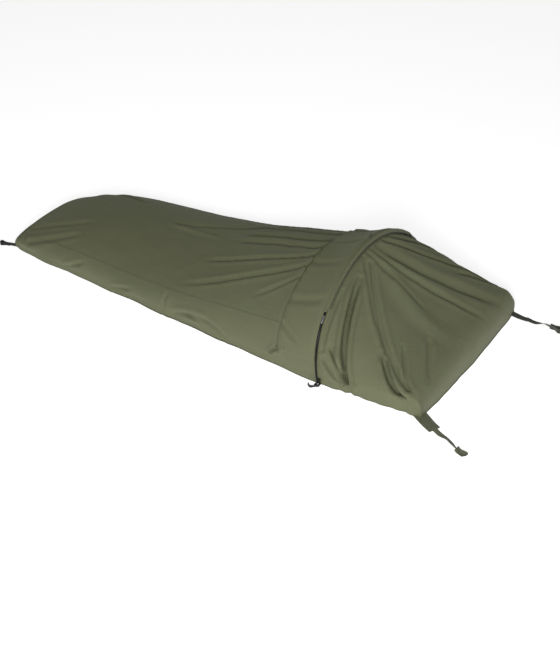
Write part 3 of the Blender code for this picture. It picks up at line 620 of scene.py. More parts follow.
def thread(name, rgb):
    m = Shader(name, rgb, 0.7, Sheen_Weight=0.2)
    m.tint(m.noise(240.0, 2.0), 0.8, 1.2)
    m.bump(m.noise(2200.0, 2.0), 0.0001, 0.6)
    return m.mat


OLIVE = woven("olive_cloth", (0.130, 0.138, 0.074))
OLIVE_WALL = woven("olive_wall", (0.131, 0.139, 0.075), lo=0.92, hi=1.08)
OLIVE_FLOOR = woven("olive_floor", (0.088, 0.091, 0.048), rough=0.62)
OLIVE_SEAM = woven("olive_seam", (0.122, 0.129, 0.069), pitch=0.0009, crumple=0.0012)
OLIVE_WEB = webbing("olive_webbing", (0.128, 0.135, 0.080))
# the piping is coloured paler than the olive cloth as a painted highlight along its bead
PIPING_PAINTED_HIGHLIGHT = webbing("piping_painted_highlight", (0.205, 0.212, 0.140), pitch=0.0012)
# the flange is coloured darker than the olive cloth as painted shade in the groove beside the piping
FLANGE_PAINTED_SHADE = woven("flange_painted_shade", (0.078, 0.082, 0.046), pitch=0.0009)
GREY_WEB = webbing("grey_green_webbing", (0.052, 0.056, 0.042))
BLACK_WEB = webbing("black_webbing", (0.013, 0.013, 0.014))
BLACK_TAPE = woven("black_zip_tape", (0.016, 0.016, 0.017), pitch=0.0006, crumple=0.0003)
BLACK_CORD = webbing("black_cord", (0.014, 0.014, 0.015), pitch=0.0009)
THREAD = thread("olive_thread", (0.125, 0.130, 0.080))
POLE_BLACK = anodised("pole_black", (0.010, 0.010, 0.011), 0.30, 0.6)
POLE_METAL = anodised("pole_ferrule", (0.36, 0.37, 0.38), 0.30)
BRASS = anodised("plated_brass", (0.50, 0.48, 0.42), 0.28)
DARK_METAL = anodised("zip_metal", (0.22, 0.21, 0.19), 0.34)
PLASTIC = moulded("black_plastic", (0.014, 0.014, 0.015), 0.42)
CAP_OLIVE = moulded("olive_plastic", (0.110, 0.115, 0.060), 0.55)


# ---------------------------------------------------------------- the hood
# creases that fan out from the crown, tucks gathered at the near edge, and the far side's pulls
HOOD_FOLDS = (
    ((0.05, -0.02), (0.50, -0.45), -0.05, 0.011, 0.026, (0.3, 0.5)),
    ((0.00, -0.02), (0.25, -0.45), -0.05, 0.0065, 0.013, (0.5, 0.3)),
    ((-0.05, -0.02), (-0.10, -0.30), 0.00, 0.004, 0.012, (0.6, 0.0)),
    ((-0.10, -0.05), (-0.80, -0.40), -0.05, 0.0085, 0.012, (0.7, 0.6)),
    ((-0.10, -0.02), (-0.50, -0.20), 0.00, 0.0065, 0.009, (0.6, 0.1)),
    ((-0.05, -0.10), (-0.15, -0.40), -0.05, -0.006, 0.034, (0.2, 0.3)),
    ((-0.25, -0.05), (-1.00, -0.15), -0.05, 0.024, 0.0115, (0.15, 1.0)),
    ((-0.75, -0.05), (-1.00, -0.15), 0.00, 0.011, 0.009, (0.1, 0.9)),
    ((-0.85, -0.02), (-1.00, -0.10), 0.00, 0.007, 0.008, (0.3, 0.8)),
    ((-0.60, -0.25), (-1.00, -0.40), 0.00, 0.020, 0.011, (0.1, 1.0)),
    ((-0.45, -0.30), (-0.80, -0.40), 0.00, 0.006, 0.008, (0.2, 0.6)),
    ((-0.25, -0.35), (-0.60, -0.45), 0.00, 0.006, 0.012, (0.1, 0.6)),
    ((-0.40, -0.02), (-0.80, -0.02), 0.00, 0.005, 0.010, (0.2, 0.6)),
    ((0.15, -0.02), (0.85, -0.40), 0.00, 0.008, 0.013, (0.7, 0.3)),
    ((0.25, -0.02), (0.95, -0.20), 0.00, 0.010, 0.012, (0.5, 0.7)),
    ((0.45, -0.02), (0.95, -0.10), 0.00, 0.007, 0.010, (0.3, 0.8)),
    ((0.45, -0.25), (0.90, -0.45), 0.00, 0.009, 0.012, (0.2, 0.9)),
)


def uneven_wave(x, seed):
    """Slow wave of no fixed pitch, about 1 high, along x metres of edge."""
    rng, out = np.random.RandomState(seed), np.zeros_like(x)
    for _ in range(9):
        out += rng.uniform(0.3, 1.0) * np.sin(2 * np.pi * x / rng.uniform(0.07, 0.42) + rng.uniform(0, 6.28))
    return out / 2.2


def hood_points(nq=231, nv=88, nlip=15):
    """The hood fans from the hoop line to the ground: down both sides and round the head edge."""
    q = np.linspace(-1, 1, nq)
    corner = 0.42
    a = np.clip((np.abs(q) - corner) / (1 - corner), 0, 1)
    s_end = -HOOD_L * (1 - a) - 0.012 * a
    d_end = np.clip(q / corner, -1, 1)
    v = np.linspace(0, 1, nv)[:, None]
    p = section(q * (1 - v) + d_end * v, s_end * v)
    # fullness that the far side and the head edge carry
    dd, ss = q * (1 - v) + d_end * v, s_end * v
    lift = 0.010 * smooth(0.15, 0.6, dd) * smooth(1.0, 0.8, dd) * smooth(0.0, -0.2, ss)
    n = outward(p)
    crease = fold_height(p, section, HOOD_FOLDS)
    h = crease + ripples(p, 11, 0.0016, 0.16) + lift
    edge = smooth(0.0, 0.05, v) * (0.25 + 0.75 * smooth(1.0, 0.93, v))
    crease = np.concatenate([crease * edge, np.zeros((nlip, nq))])
    p = p + n * (h * edge)[..., None]
    base = p[-1]
    w = np.linspace(0, 1, nlip + 1)[1:, None]
    drop = np.stack([np.broadcast_to(base[:, 0], (nlip, nq)), np.broadcast_to(base[:, 1], (nlip, nq)),
                     base[:, 2] * (1 - w) + FLOOR_Z * w], -1)
    p = np.concatenate([p, drop])
    # the cloth rolls over its edges instead of folding sharply
    row = np.arange(len(p))
    near_edge = np.exp(-((row - nv + 1) / 6.0) ** 2)[1:-1, None, None]
    reach = near_edge * smooth(1.0, 0.9, np.abs(q))[None, :, None]
    for _ in range(46):
        p[1:-1] += 0.9 * reach * (0.5 * (p[:-2] + p[2:]) - p[1:-1])
    # its lower edge lies on the ground in slow waves
    low = smooth(0.0, 1.0, (row - nv + 1) / nlip)[:, None]
    along = np.concatenate([[0], np.cumsum(np.linalg.norm(np.diff(base[:, :2], axis=0), axis=1))])
    wave = uneven_wave(along, 3) * (0.0016 + 0.0016 * smooth(0.3, 0.6, np.abs(q)))
    nb = unit(np.stack([np.gradient(base[:, 1]), -np.gradient(base[:, 0]), np.zeros(nq)], -1))
    nb = nb * np.sign((nb * (base - np.array([SHIFT[0], HOOP_Y, 0]))).sum(-1, keepdims=True))
    taper = smooth(1.0, 0.93, np.abs(q))
    p += (low * wave * taper)[..., None] * nb[None]
    return p, nv, nlip, crease


def hold_map(p, nv, inner):
    """Pinning: firm at the hoop line and the ground, `inner` between them."""
    row = np.arange(len(p))[:, None]
    h = np.full(p.shape[:2], inner)
    h = np.maximum(h, smooth(4.0, 0.0, row + 0.0 * h))
    h = np.maximum(h, 0.75 * smooth(nv - 8.0, nv + 2.0, row + 0.0 * h))
    h[-1] = 1.0
    h[:, :2] = 1.0
    h[:, -2:] = 1.0
    return h


p, nv, nlip, crease = hood_points()
hood = cloth_mesh("hood_cloth", p, OLIVE)
settle(hood, hold_map(p, nv, 0.50), 16, 0.35, 0.012)
hood_grid = press_creases(hood, p.shape, 0.75 * crease)
thicken(hood, 0.0006)
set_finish(hood, "fabric_olive")
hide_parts("hood_panel", "head_wall_band")

# ---------------------------------------------------------------- upper shell and side walls
def fan(starts, spread, s0, s1, depth, width):
    """Folds that leave s0 side by side and are `spread` times as far apart, nearly flat, at s1."""
    return tuple(((d, s0), (d * spread, s1), 0.0, depth, width, (1.0, 0.1)) for d in starts)


# from the flap's hem towards the foot, wider on the near side; then the body, the foot and the walls
SHELL_FOLDS = (
    ((-0.90, 0.205), (0.90, 0.205), 0.00, 0.0060, 0.010, (0.8, 0.8)),
    *fan((-0.20, -0.10), 3.0, FLAP_W, 0.80, 0.0070, 0.012),
    *fan((0.00, 0.10, 0.25, 0.40), 1.3, FLAP_W, 0.75, 0.0066, 0.0155),
    ((-0.30, 0.20), (-0.55, 0.40), 0.00, 0.0045, 0.010, (1.0, 0.1)),
    ((0.40, 0.55), (0.05, 1.15), 0.00, 0.0045, 0.020, (0.2, 0.2)),
    ((0.05, 1.15), (0.00, 0.80), 0.00, -0.0040, 0.014, (0.2, 0.2)),
    ((-0.80, 1.70), (-0.45, 1.45), 0.00, 0.0050, 0.014, (0.9, 0.1)),
    ((-0.55, 1.75), (-0.25, 1.45), 0.00, 0.0040, 0.014, (0.9, 0.1)),
    ((0.60, 1.70), (0.30, 1.35), 0.00, 0.0045, 0.016, (0.9, 0.1)),
    ((-1.00, 1.45), (-0.80, 1.35), 0.00, 0.0040, 0.010, (0.9, 0.2)),
    ((-1.00, 1.15), (-0.90, 1.05), 0.00, 0.0045, 0.010, (0.9, 0.2)),
    ((-1.00, 0.85), (-0.75, 0.85), 0.00, 0.0040, 0.010, (0.9, 0.3)),
    ((-1.00, 0.80), (-1.00, 0.50), 0.10, 0.0055, 0.012, (0.6, 0.8)),
    ((-0.90, 0.75), (-1.00, 0.55), 0.00, 0.0035, 0.009, (0.2, 0.6)),
    ((-0.95, 0.25), (-0.80, 0.15), 0.00, 0.0080, 0.007, (0.9, 0.3)),
    *(((1.00, s), (0.80, s - 0.15), 0.00, 0.0060, 0.011, (0.9, 0.2)) for s in (0.50, 0.95, 1.35)),
)


def body_points(ns=360, nu=89, nw=30, nlip=5):
    """The whole body from floor edge to floor edge; columns nlip + nw from each side are the seams."""
    s = np.concatenate([np.linspace(0.0002, 0.30, 70), np.linspace(0.30, FOOT_S, ns - 69)[1:]])
    w = np.linspace(0, 1, nw + 1)[:-1]
    zip_end = math.radians(ZIP_HALF) * SKIN["r1"] / SKIN["half"] + 0.0012
    seam = (zip_end + (SEAM - zip_end) * smooth(ZIP_S + 0.017, 0.085, s))[:, None]
    d = np.concatenate([-1 + (1 - seam) * w, seam * np.linspace(-1, 1, nu), 1 - (1 - seam) * w[::-1]], axis=1)
    p = section(d, s[:, None])
    n = outward(p)
    crease = fold_height(p, section, SHELL_FOLDS)
    h = crease + ripples(p, 5, 0.0019, 0.20, stretch=(1, 0.7, 1)) + ripples(p, 8, 0.0008, 0.07)
    ends = smooth(0.0, 0.05, s) * smooth(FOOT_S, FOOT_S - 0.05, s)
    p = p + n * (h * ends[:, None] * (0.35 + 0.65 * smooth(1.0, 0.93, np.abs(d))))[..., None]
    k = np.linspace(1, 0, nlip + 1)[:-1]
    lips = []
    for edge, kk in ((p[:, 0], k), (p[:, -1], k[::-1])):
        z = edge[:, None, 2] * (1 - kk) + FLOOR_Z * kk
        lips.append(np.stack([np.broadcast_to(edge[:, None, 0], z.shape),
                              np.broadcast_to(edge[:, None, 1], z.shape), z], -1))
    p = np.concatenate([lips[0], p, lips[1]], axis=1)
    # slow waves along both lower edges
    c = np.arange(p.shape[1])
    for side, col in ((-1, c), (1, c[::-1])):
        low = smooth(nlip + 7.0, 0.0, col.astype(float))[None, :]
        wave = 0.0036 * uneven_wave(s, 40 + side)
        p[..., 0] += side * low * (wave * ends)[:, None]
    crease = np.pad(crease * ends[:, None], ((0, 0), (nlip, nlip)))
    return s, p, nlip + nw, crease


s_body, p, seam_col, crease = body_points()
whole = cloth_mesh("body_cloth", p, OLIVE)
hold = np.full(p.shape[:2], 0.46)
hold[:4], hold[-4:] = 1.0, 1.0
hold[:, :3], hold[:, -3:] = 1.0, 1.0
hold[:, seam_col - 1:seam_col + 2] = np.maximum(hold[:, seam_col - 1:seam_col + 2], 0.7)
hold[:, -seam_col - 2:-seam_col + 1] = np.maximum(hold[:, -seam_col - 2:-seam_col + 1], 0.7)
settle(whole, hold, 14, 0.15, 0.010)
body_grid = press_creases(whole, p.shape, 0.55 * crease)
bpy.data.objects.remove(whole, do_unlink=True)

body_out = outward(body_grid)
last = body_grid.shape[1] - 1
a, b = seam_col, last - seam_col
zip_cols = slice(a, b + 1)
# the shell starts at the zip's tape
shell_part = body_grid[:, zip_cols].copy()
s_new = np.interp(s_body, [s_body[0], 0.20, s_body[-1]], [ZIP_S + 0.0155, 0.20, s_body[-1]])
for j in range(shell_part.shape[1]):
    for k in range(3):
        shell_part[:, j, k] = np.interp(s_new, s_body, body_grid[:, a + j, k])
shell = cloth_mesh("upper_shell_cloth", shell_part, OLIVE)
thicken(shell, 0.0006)
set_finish(shell, "fabric_olive")
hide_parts("upper_shell")
walls = {}
for side, cols, sign in (("near", slice(0, a + 1), -1), ("far", slice(b, last + 1), 1)):
    wall = cloth_mesh("side_wall_%s_cloth" % side, body_grid[:, cols].copy(), OLIVE_WALL)
    thicken(wall, 0.0006)
    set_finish(wall, "fabric_olive")
    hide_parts("side_wall_" + side)
    walls[side] = wall


def strip_along(name, line, nrm, width, rise, mat, cols=5, round_up=0.0006):
    """Folded seam strip lying on the cloth along a line of points."""
    tan = unit(np.gradient(line, axis=0))
    across = unit(np.cross(nrm, tan))
    x = np.linspace(-1, 1, cols)
    lift = rise + round_up * np.sqrt(np.clip(1 - x ** 4, 0, 1)) - rise * 0.9 * (np.abs(x) > 0.99)
    p = line[:, None] + across[:, None] * (x * width / 2)[None, :, None] + nrm[:, None] * lift[None, :, None]
    return cloth_mesh(name, p, mat), across


seam_lines = []
seams = []
for side, col in (("near", a), ("far", b)):
    line, nrm = body_grid[:, col], body_out[:, col]
    strip, across = strip_along("wall_seam_" + side, line, nrm, 0.011, 0.0007, OLIVE_SEAM)
    seams.append(strip)
    for off in (-0.0036, 0.0036):
        seam_lines.append((line + across * off + nrm * 0.0013, nrm))
rows = stitches("wall_seam_stitches", seam_lines, THREAD)

# ---------------------------------------------------------------- foot end
d = np.linspace(-1, 1, 101)
zf = np.linspace(0, 1, 26)[:, None]
top = body_grid[-1]
edge = section(d, np.full(d.shape, FOOT_S))
# the shell's last row, met all along
tops = np.stack([np.interp(edge[:, 0], top[5:-5, 0], top[5:-5, k]) for k in range(3)], -1)
bulge = 0.047 * (1 - np.abs(d) ** np.where(d < 0, 5.0, 3.0)) * np.sin(math.pi * (0.30 + 0.70 * zf))
foot = np.stack([np.broadcast_to(tops[:, 0], bulge.shape), tops[:, 1] + bulge,
                 FLOOR_Z + (tops[:, 2] - FLOOR_Z) * zf], -1)
foot[..., 1] += ripples(foot, 21, 0.0016, 0.09) * smooth(0.0, 0.2, zf) * smooth(1.0, 0.85, zf) \
    * smooth(1.0, 0.85, np.abs(d))
foot_end = cloth_mesh("foot_end_cloth", foot, OLIVE)
thicken(foot_end, 0.0006)
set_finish(foot_end, "fabric_olive")
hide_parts("foot_end_wall")
line = top[4:-4]
nrm = unit(body_out[-3, 4:-4] + np.array([0, 0.6, 0]))
foot_seam, across = strip_along("foot_seam", line, nrm, 0.009, 0.0006, OLIVE_SEAM)
foot_rows = stitches("foot_seam_stitches", [(line + nrm * 0.0013 - np.array([0, 0.003, 0]), nrm)], THREAD)

# ---------------------------------------------------------------- groundsheet
near_edge, far_edge = body_grid[:, 0, :2], body_grid[:, -1, :2]
head_edge = hood_grid[-1, :, :2]
outline = np.concatenate([head_edge, far_edge, foot[0, ::-1, :2], near_edge[::-1]])
centre = outline.mean(axis=0)
away = unit(outline - centre)
rim = outline + away * 0.0030
ks = (1.0, 0.9975, 0.97, 0.9, 0.6, 0.3, 0.05)
hs = (0.0012, 0.0004, 0.0006, 0.0006, 0.0006, 0.0006, 0.0006)
fan_grid = np.stack([np.concatenate([centre + (rim - centre) * k, np.full((len(rim), 1), h)], axis=1)
                     for k, h in zip(ks, hs)])
fan_grid = np.concatenate([fan_grid, fan_grid[:, :1]], axis=1)
ground = cloth_mesh("groundsheet_cloth", fan_grid, OLIVE_FLOOR,
                    uv=fan_grid[..., :2].copy())
thicken(ground, 0.0008, 0.0)
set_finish(ground, "fabric_olive")
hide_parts("groundsheet_floor")

# ---------------------------------------------------------------- storm flap
FLAP_FOLDS = (
    *(((d, 0.02), (1.05 * d, FLAP_W), 0.00, 0.0042, 0.016, (0.2, 1.0))
      for d in (-0.50, -0.20, 0.05, 0.30, 0.60)),
    ((-0.80, 0.10), (-0.70, FLAP_W), 0.00, 0.0050, 0.010, (0.3, 1.0)),
)
d, s = np.linspace(-FLAP_D, FLAP_D, 221), np.linspace(0.0062, FLAP_W, 44)[:, None]
flap_p = flap_surface(d, s)
n = outward(flap_p)
h = fold_height(flap_p, flap_surface, FLAP_FOLDS) + ripples(flap_p, 31, 0.0010, 0.12)
flap_p = flap_p + n * (h * smooth(0.0, 0.05, s) * smooth(0.86, 0.78, np.abs(d)))[..., None]
flap = cloth_mesh("storm_flap_cloth", flap_p, OLIVE)
hold = np.maximum(np.full(flap_p.shape[:2], 0.45), smooth(0.04, 0.01, s + 0.0 * d))
hold[:, :3], hold[:, -3:] = 1.0, 1.0
settle(flap, hold, 12, 0.4, 0.008)
done = np.zeros(len(flap.data.vertices) * 3)
flap.data.vertices.foreach_get("co", done)
flap_grid = done.reshape(flap_p.shape)
flap_out = outward(flap_grid)
thicken(flap, 0.0006)
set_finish(flap, "fabric_olive")
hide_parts("storm_flap")
# bound hem: a tape folded round the edge
hem = []
for k, (back, out) in enumerate(((0.013, 0.0006), (0.009, 0.0012), (0.004, 0.0015), (0.0006, 0.0012),
                                 (-0.0008, 0.0), (0.0006, -0.0016), (0.004, -0.0020), (0.011, -0.0018))):
    fwd = unit(flap_grid[-1] - flap_grid[-3])
    hem.append(flap_grid[-1] - fwd * back + flap_out[-1] * out)
hem = np.array(hem)
binding = cloth_mesh("flap_hem_tape", hem, OLIVE_SEAM)
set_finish(binding, "binding_olive")
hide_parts("flap_hem_binding")
hem_rows = stitches("flap_hem_stitches", [(hem[1] + flap_out[-1] * 0.0003, flap_out[-1])], THREAD)
for piece in (flap, binding, hem_rows):
    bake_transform(piece)

# ---------------------------------------------------------------- the hoop
def pole_points(a, b, n):
    x, zeta = arch_at(POLE, -POLE["half"] + np.linspace(a, b, n))
    return lean_point(x, zeta, 0.0)


TOTAL, TIP_L, FERRULE_L, END_GAP = 2 * POLE["half"], 0.016, 0.034, 0.0006
seg = (TOTAL - 2 * TIP_L - 4 * FERRULE_L - 10 * END_GAP) / 5
at = TIP_L + END_GAP
for i, name in enumerate(("near_leg", "near_shoulder", "crown", "far_shoulder", "far_leg")):
    piece = tube_mesh("pole_%s_tube" % name, pole_points(at, at + seg, 60), 0.00425, POLE_BLACK, 20,
                      bore=0.00325)
    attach(piece, "hoop")
    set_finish(piece, "pole_black")
    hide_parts("pole_" + name)
    at += seg + END_GAP
    if i < 4:
        # rolled sleeve with a small chamfer at each end
        k = np.array([0, 0.0006, 0.0016, 0.5 * FERRULE_L, FERRULE_L - 0.0016, FERRULE_L - 0.0006, FERRULE_L])
        rad = np.array([0.0040, 0.0044, 0.00455, 0.00455, 0.00455, 0.0044, 0.0040])
        x, zeta = arch_at(POLE, -POLE["half"] + at + k)
        piece = tube_mesh("ferrule_%d_tube" % (i + 1), lean_point(x, zeta, 0.0), rad, POLE_METAL, 24,
                          bore=0.00325)
        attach(piece, "hoop")
        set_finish(piece, "pole_metal")
        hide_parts("pole_ferrule_%d" % (i + 1))
        at += FERRULE_L + END_GAP
cord = tube_mesh("shock_cord_line", pole_points(TIP_L, TOTAL - TIP_L, 160), 0.00125, BLACK_CORD, 8)
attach(cord, "hoop")
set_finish(cord, "webbing_black")
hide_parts("pole_shock_cord")

# sleeve: a tube of the same cloth, puckered along its seam, with a turned cuff at each end
SLEEVE_BARE = 0.322
path = pole_points(SLEEVE_BARE, TOTAL - SLEEVE_BARE, 420)
run = np.linspace(0, TOTAL - 2 * SLEEVE_BARE, 420)
ang = np.linspace(0, 2 * np.pi, 28, endpoint=False)
tan = unit(np.gradient(path, axis=0))
fwd = np.array([0.0, math.cos(LEAN), -math.sin(LEAN)])
side_v = np.broadcast_to(fwd, tan.shape)
out_v = np.cross(tan, side_v)
out_v = out_v * np.sign(out_v[len(out_v) // 2, 2])
rows_ = []
for a_ in ang:
    ca, sa = math.cos(a_), math.sin(a_)
    under = max(0.0, -sa)
    pucker = 0.00045 * np.sin(run * 2 * np.pi / 0.017 + 0.6 * np.sin(run * 61)) * (0.25 + under)
    pucker += 0.00030 * np.sin(run * 2 * np.pi / 0.046 + a_)
    r = 0.0066 + pucker + 0.0007 * under
    cuff = np.exp(-(((run - 0.006) / 0.0045) ** 4)) + np.exp(-(((run[-1] - run - 0.006) / 0.0045) ** 4))
    r = r + 0.0007 * cuff
    rows_.append(path + (r * ca)[:, None] * side_v + (r * sa * 1.02)[:, None] * out_v)
sleeve_p = np.array(rows_ + [rows_[0]]).transpose(1, 0, 2)
sleeve = cloth_mesh("pole_sleeve_cloth", sleeve_p, OLIVE_SEAM)
thicken(sleeve, 0.0005, -1.0)
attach(sleeve, "hoop")
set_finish(sleeve, "fabric_olive")
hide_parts("pole_sleeve")
# the flange that joins the sleeve to the hood, with its bead of piping and two rows of stitching; the flange
# is coloured darker as painted shade beside the bead, and the bead paler as a painted highlight
keep = slice(4, -4)
top, base_d = path[keep], run[keep] + SLEEVE_BARE - POLE["half"]
skin_d = base_d / POLE["half"]
skin = section(skin_d * 1.0, np.full(skin_d.shape, -0.0008))
down = unit(skin - top)
fl = np.stack([top - fwd * 0.0045 + down * 0.0050, top - fwd * 0.0056 + down * 0.0072,
               top - fwd * 0.0068 + down * 0.0090, skin - fwd * 0.0095 + out_v[keep] * 0.0006,
               skin - fwd * 0.0150 + out_v[keep] * 0.0004])
flange = cloth_mesh("sleeve_flange", fl, FLANGE_PAINTED_SHADE)
bead = tube_mesh("sleeve_piping", top - fwd * 0.0064 + down * 0.0052, 0.0021, PIPING_PAINTED_HIGHLIGHT, 12)
lines = [(skin - fwd * 0.0120 + out_v[keep] * 0.0010, out_v[keep]),
         (top + fwd * 0.0058 + down * 0.0034, unit(out_v[keep] + fwd))]
sleeve_rows = stitches("sleeve_stitches", lines, THREAD, pitch=0.0042)
for piece in (flange, bead, sleeve_rows):
    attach(piece, "hoop")
    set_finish(piece, "fabric_olive")

# ---------------------------------------------------------------- the zip under the flap
def zip_arc(deg, s, rise):
    a_ = np.radians(deg)
    r = SKIN["r1"] + rise
    return lean_point(r * np.sin(a_), SKIN["zc"] + r * np.cos(a_), s)


def zip_up(deg):
    a_ = np.radians(deg)
    return np.stack([np.sin(a_), math.sin(LEAN) * np.cos(a_), math.cos(LEAN) * np.cos(a_)], -1)


deg = np.linspace(-ZIP_HALF, ZIP_HALF, 240)
for name, s0, s1 in (("hood", 0.0006, ZIP_S - 0.0031), ("shell", ZIP_S + 0.0031, ZIP_S + 0.0168)):
    cols = np.linspace(s0, s1, 8)
    tape_p = np.stack([zip_arc(deg, c, 0.0) for c in cols])
    tape = cloth_mesh("zip_tape_%s_cloth" % name, tape_p, BLACK_TAPE)
    thicken(tape, 0.0006)
    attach(tape, "hoop" if name == "hood" else "root")
    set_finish(tape, "webbing_black")
    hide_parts("zip_tape_" + name)
# coil: one bent nylon tooth after another, the two sides meshing
for name, sign, phase in (("hood", -1, 0.0), ("shell", 1, 0.5)):
    verts, faces = [], []
    pitch = math.degrees(0.0024 / SKIN["r1"])
    where = np.arange(-ZIP_HALF + 0.8 + phase * pitch, ZIP_HALF - 0.8, pitch)
    for dg_ in where:
        up = zip_up(dg_)
        along = np.cross(fwd, up)
        c0 = zip_arc(dg_, ZIP_S, 0.0)
        base = len(verts)
        loop_pts = ((0.0030, -0.0010), (0.0016, 0.0006), (0.0002, 0.0009), (-0.0004, 0.0), (0.0002, -0.0010))
        for u_, w_ in loop_pts:
            for al, up_ in ((-0.00042, 0.0), (0.0, 0.00042), (0.00042, 0.0), (0.0, -0.00042)):
                verts.append(tuple(c0 + fwd * (sign * u_) + up * (w_ + up_) + along * al))
        for i in range(len(loop_pts) - 1):
            for j in range(4):
                q0, q1 = base + i * 4 + j, base + i * 4 + (j + 1) % 4
                faces.append((q0, q1, q1 + 4, q0 + 4))
        faces.append(tuple(base + j for j in range(4)))
        faces.append(tuple(base + (len(loop_pts) - 1) * 4 + j for j in range(4)))
    mesh = bpy.data.meshes.new("zip_coil_%s_teeth" % name)
    mesh.from_pydata(verts, [], faces)
    mesh.shade_smooth()
    coil = new_object("zip_coil_%s_teeth" % name, mesh, PLASTIC)
    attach(coil, "hoop" if name == "hood" else "root")
    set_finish(coil, "plastic_black")
    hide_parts("zip_coil_" + name)

# ---------------------------------------------------------------- stake straps and corner patches
def strap_route(start, yaw, lead, loop_l, loop_w, wander):
    """Plan route of a stake strap: straight on, a teardrop loop, and back beside itself."""
    pts = [(lead * i / 40, wander * (1 - math.cos(2 * math.pi * i / 40))) for i in range(41)]
    for i in range(1, 60):
        u = i / 60
        x = lead + loop_l * math.sin(math.pi * u) ** 0.8
        pts.append((x, -loop_w * math.sin(2 * math.pi * u) + 0.0026 * u))
    for i in range(16):
        x = lead - 0.004 - 0.018 * i / 15
        pts.append((x, 0.0026 + wander * (1 - math.cos(2 * math.pi * x / lead))))
    c, s_ = math.cos(yaw), math.sin(yaw)
    return np.array([(start[0] + c * x - s_ * y, start[1] + s_ * x + c * y, 0.0) for x, y in pts])


def evened(pts, n):
    """The same route with n evenly spaced, slightly relaxed points."""
    for _ in range(6):
        pts[1:-1] = 0.5 * pts[1:-1] + 0.25 * (pts[:-2] + pts[2:])
    at_ = np.concatenate([[0.0], np.cumsum(np.linalg.norm(np.diff(pts, axis=0), axis=1))])
    w_ = np.linspace(0, at_[-1], n)
    return np.stack([np.interp(w_, at_, pts[:, k]) for k in range(3)], -1), at_[-1]


def webbing_strap(name, pts, width, thickness, turn, mat, node, body, lift=0.0):
    tan_ = unit(np.gradient(pts, axis=0))
    flat = unit(np.stack([tan_[:, 1], -tan_[:, 0], np.zeros(len(pts))], -1))
    a_ = np.radians(turn)[:, None]
    wide = flat * np.cos(a_) + np.array([0, 0, 1.0]) * np.sin(a_)
    thin = unit(np.cross(tan_, wide))
    strap = ribbon(name, pts + np.array([0, 0, lift]), wide, thin, width, thickness, mat)
    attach(strap, body)
    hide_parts(node)
    return strap


corner_y = HEAD_Y - 0.0008 - 0.0003
patch_lines = []
for name, side, patch_yaw, yaw, lead, mat in (("near", -1, -2.00, -2.07, 0.160, OLIVE_WEB),
                                              ("far", 1, -1.88, -1.66, 0.120, GREY_WEB)):
    out = np.array([math.cos(patch_yaw), math.sin(patch_yaw)])
    across = np.array([-out[1], out[0]])
    tip = np.array([side * (HEAD_HALF + 0.0003), corner_y]) + out * 0.092
    root_c = np.array([side * (HEAD_HALF - 0.018), corner_y + 0.016])
    k = np.linspace(0, 1, 26)[:, None]
    half_w = (0.030 if side < 0 else 0.017) - 0.002 * smooth(0.2, 1.0, k)
    mid_line = root_c + (tip - root_c) * k
    x = np.linspace(-1, 1, 15)[None, :]
    pxy = mid_line[:, None, :] + (half_w * x)[..., None] * across
    z = 0.0016 + 0.0016 * np.sin(k * 6.0 + 1.0) * (x ** 2) * smooth(0.0, 0.3, k)
    z = z + 0.0035 * smooth(0.25, 0.0, k)
    patch_p = np.concatenate([pxy + SHIFT[:2], z[..., None] + 0 * pxy[..., :1]], -1)
    patch = cloth_mesh("head_patch_%s_cloth" % name, patch_p, OLIVE_WEB if side < 0 else GREY_WEB)
    thicken(patch, 0.0012, 0.0)
    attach(patch, "root")
    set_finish(patch, "binding_olive")
    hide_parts("head_patch_" + name)
    up = np.tile([0, 0, 1.0], (26, 1))
    for xx in (-0.86, -0.72, 0.72, 0.86):
        j = (xx + 1) * 7
        j0 = int(j)
        line = patch_p[:, j0] * (1 - j + j0) + patch_p[:, min(j0 + 1, 14)] * (j - j0) + up * 0.0008
        patch_lines.append((line, up))
    start = tip + out * 0.0042
    route, total = evened(strap_route(start + SHIFT[:2], yaw, lead, 0.034, 0.011, 0.004), 150)
    run_ = np.linspace(0, total, 150)
    full = 42 if side < 0 else 84
    turn = full * smooth(0.02, 0.12, run_) + 12 * np.sin(run_ * 46) * smooth(0.05, 0.12, run_)
    route[:, 2] = 0.0125 * np.sin(np.radians(np.clip(turn, 0, 90))) + 0.0010
    # the strap's sewn end lies on the patch
    sewn = start + SHIFT[:2] - out * np.linspace(0.024, 0.0006, 14)[:, None]
    route = np.concatenate([np.concatenate([sewn, np.full((14, 1), 0.0034)], axis=1), route])
    route[14:34, 2] += 0.0024 * smooth(20.0, 0.0, np.arange(20.0))
    turn = np.concatenate([np.zeros(14), turn])
    strap = webbing_strap("head_strap_%s_webbing" % name, route, 0.025, 0.0016, turn, mat,
                          "head_strap_" + name, "head_strap_%s_body" % name)
    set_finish(strap, "binding_olive")
patch_rows = stitches("patch_stitches", patch_lines, THREAD, pitch=0.0040)
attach(patch_rows, "root")
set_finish(patch_rows, "binding_olive")

for name, side, yaw in (("near", -1, 1.83), ("far", 1, 1.40)):
    start = PIVOT["foot_strap_%s_swing" % name][:2]
    route, total = evened(strap_route(start, yaw, 0.050, 0.030, 0.009, 0.0), 110)
    route[:, 2] = 0.0095
    run_ = np.linspace(0, total, 110)
    turn = 90 + 5 * np.sin(run_ * 60)
    strap = webbing_strap("foot_strap_%s_webbing" % name, route, 0.018, 0.0016, turn, BLACK_WEB,
                          "foot_strap_" + name, "foot_strap_%s_body" % name)
    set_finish(strap, "webbing_black")

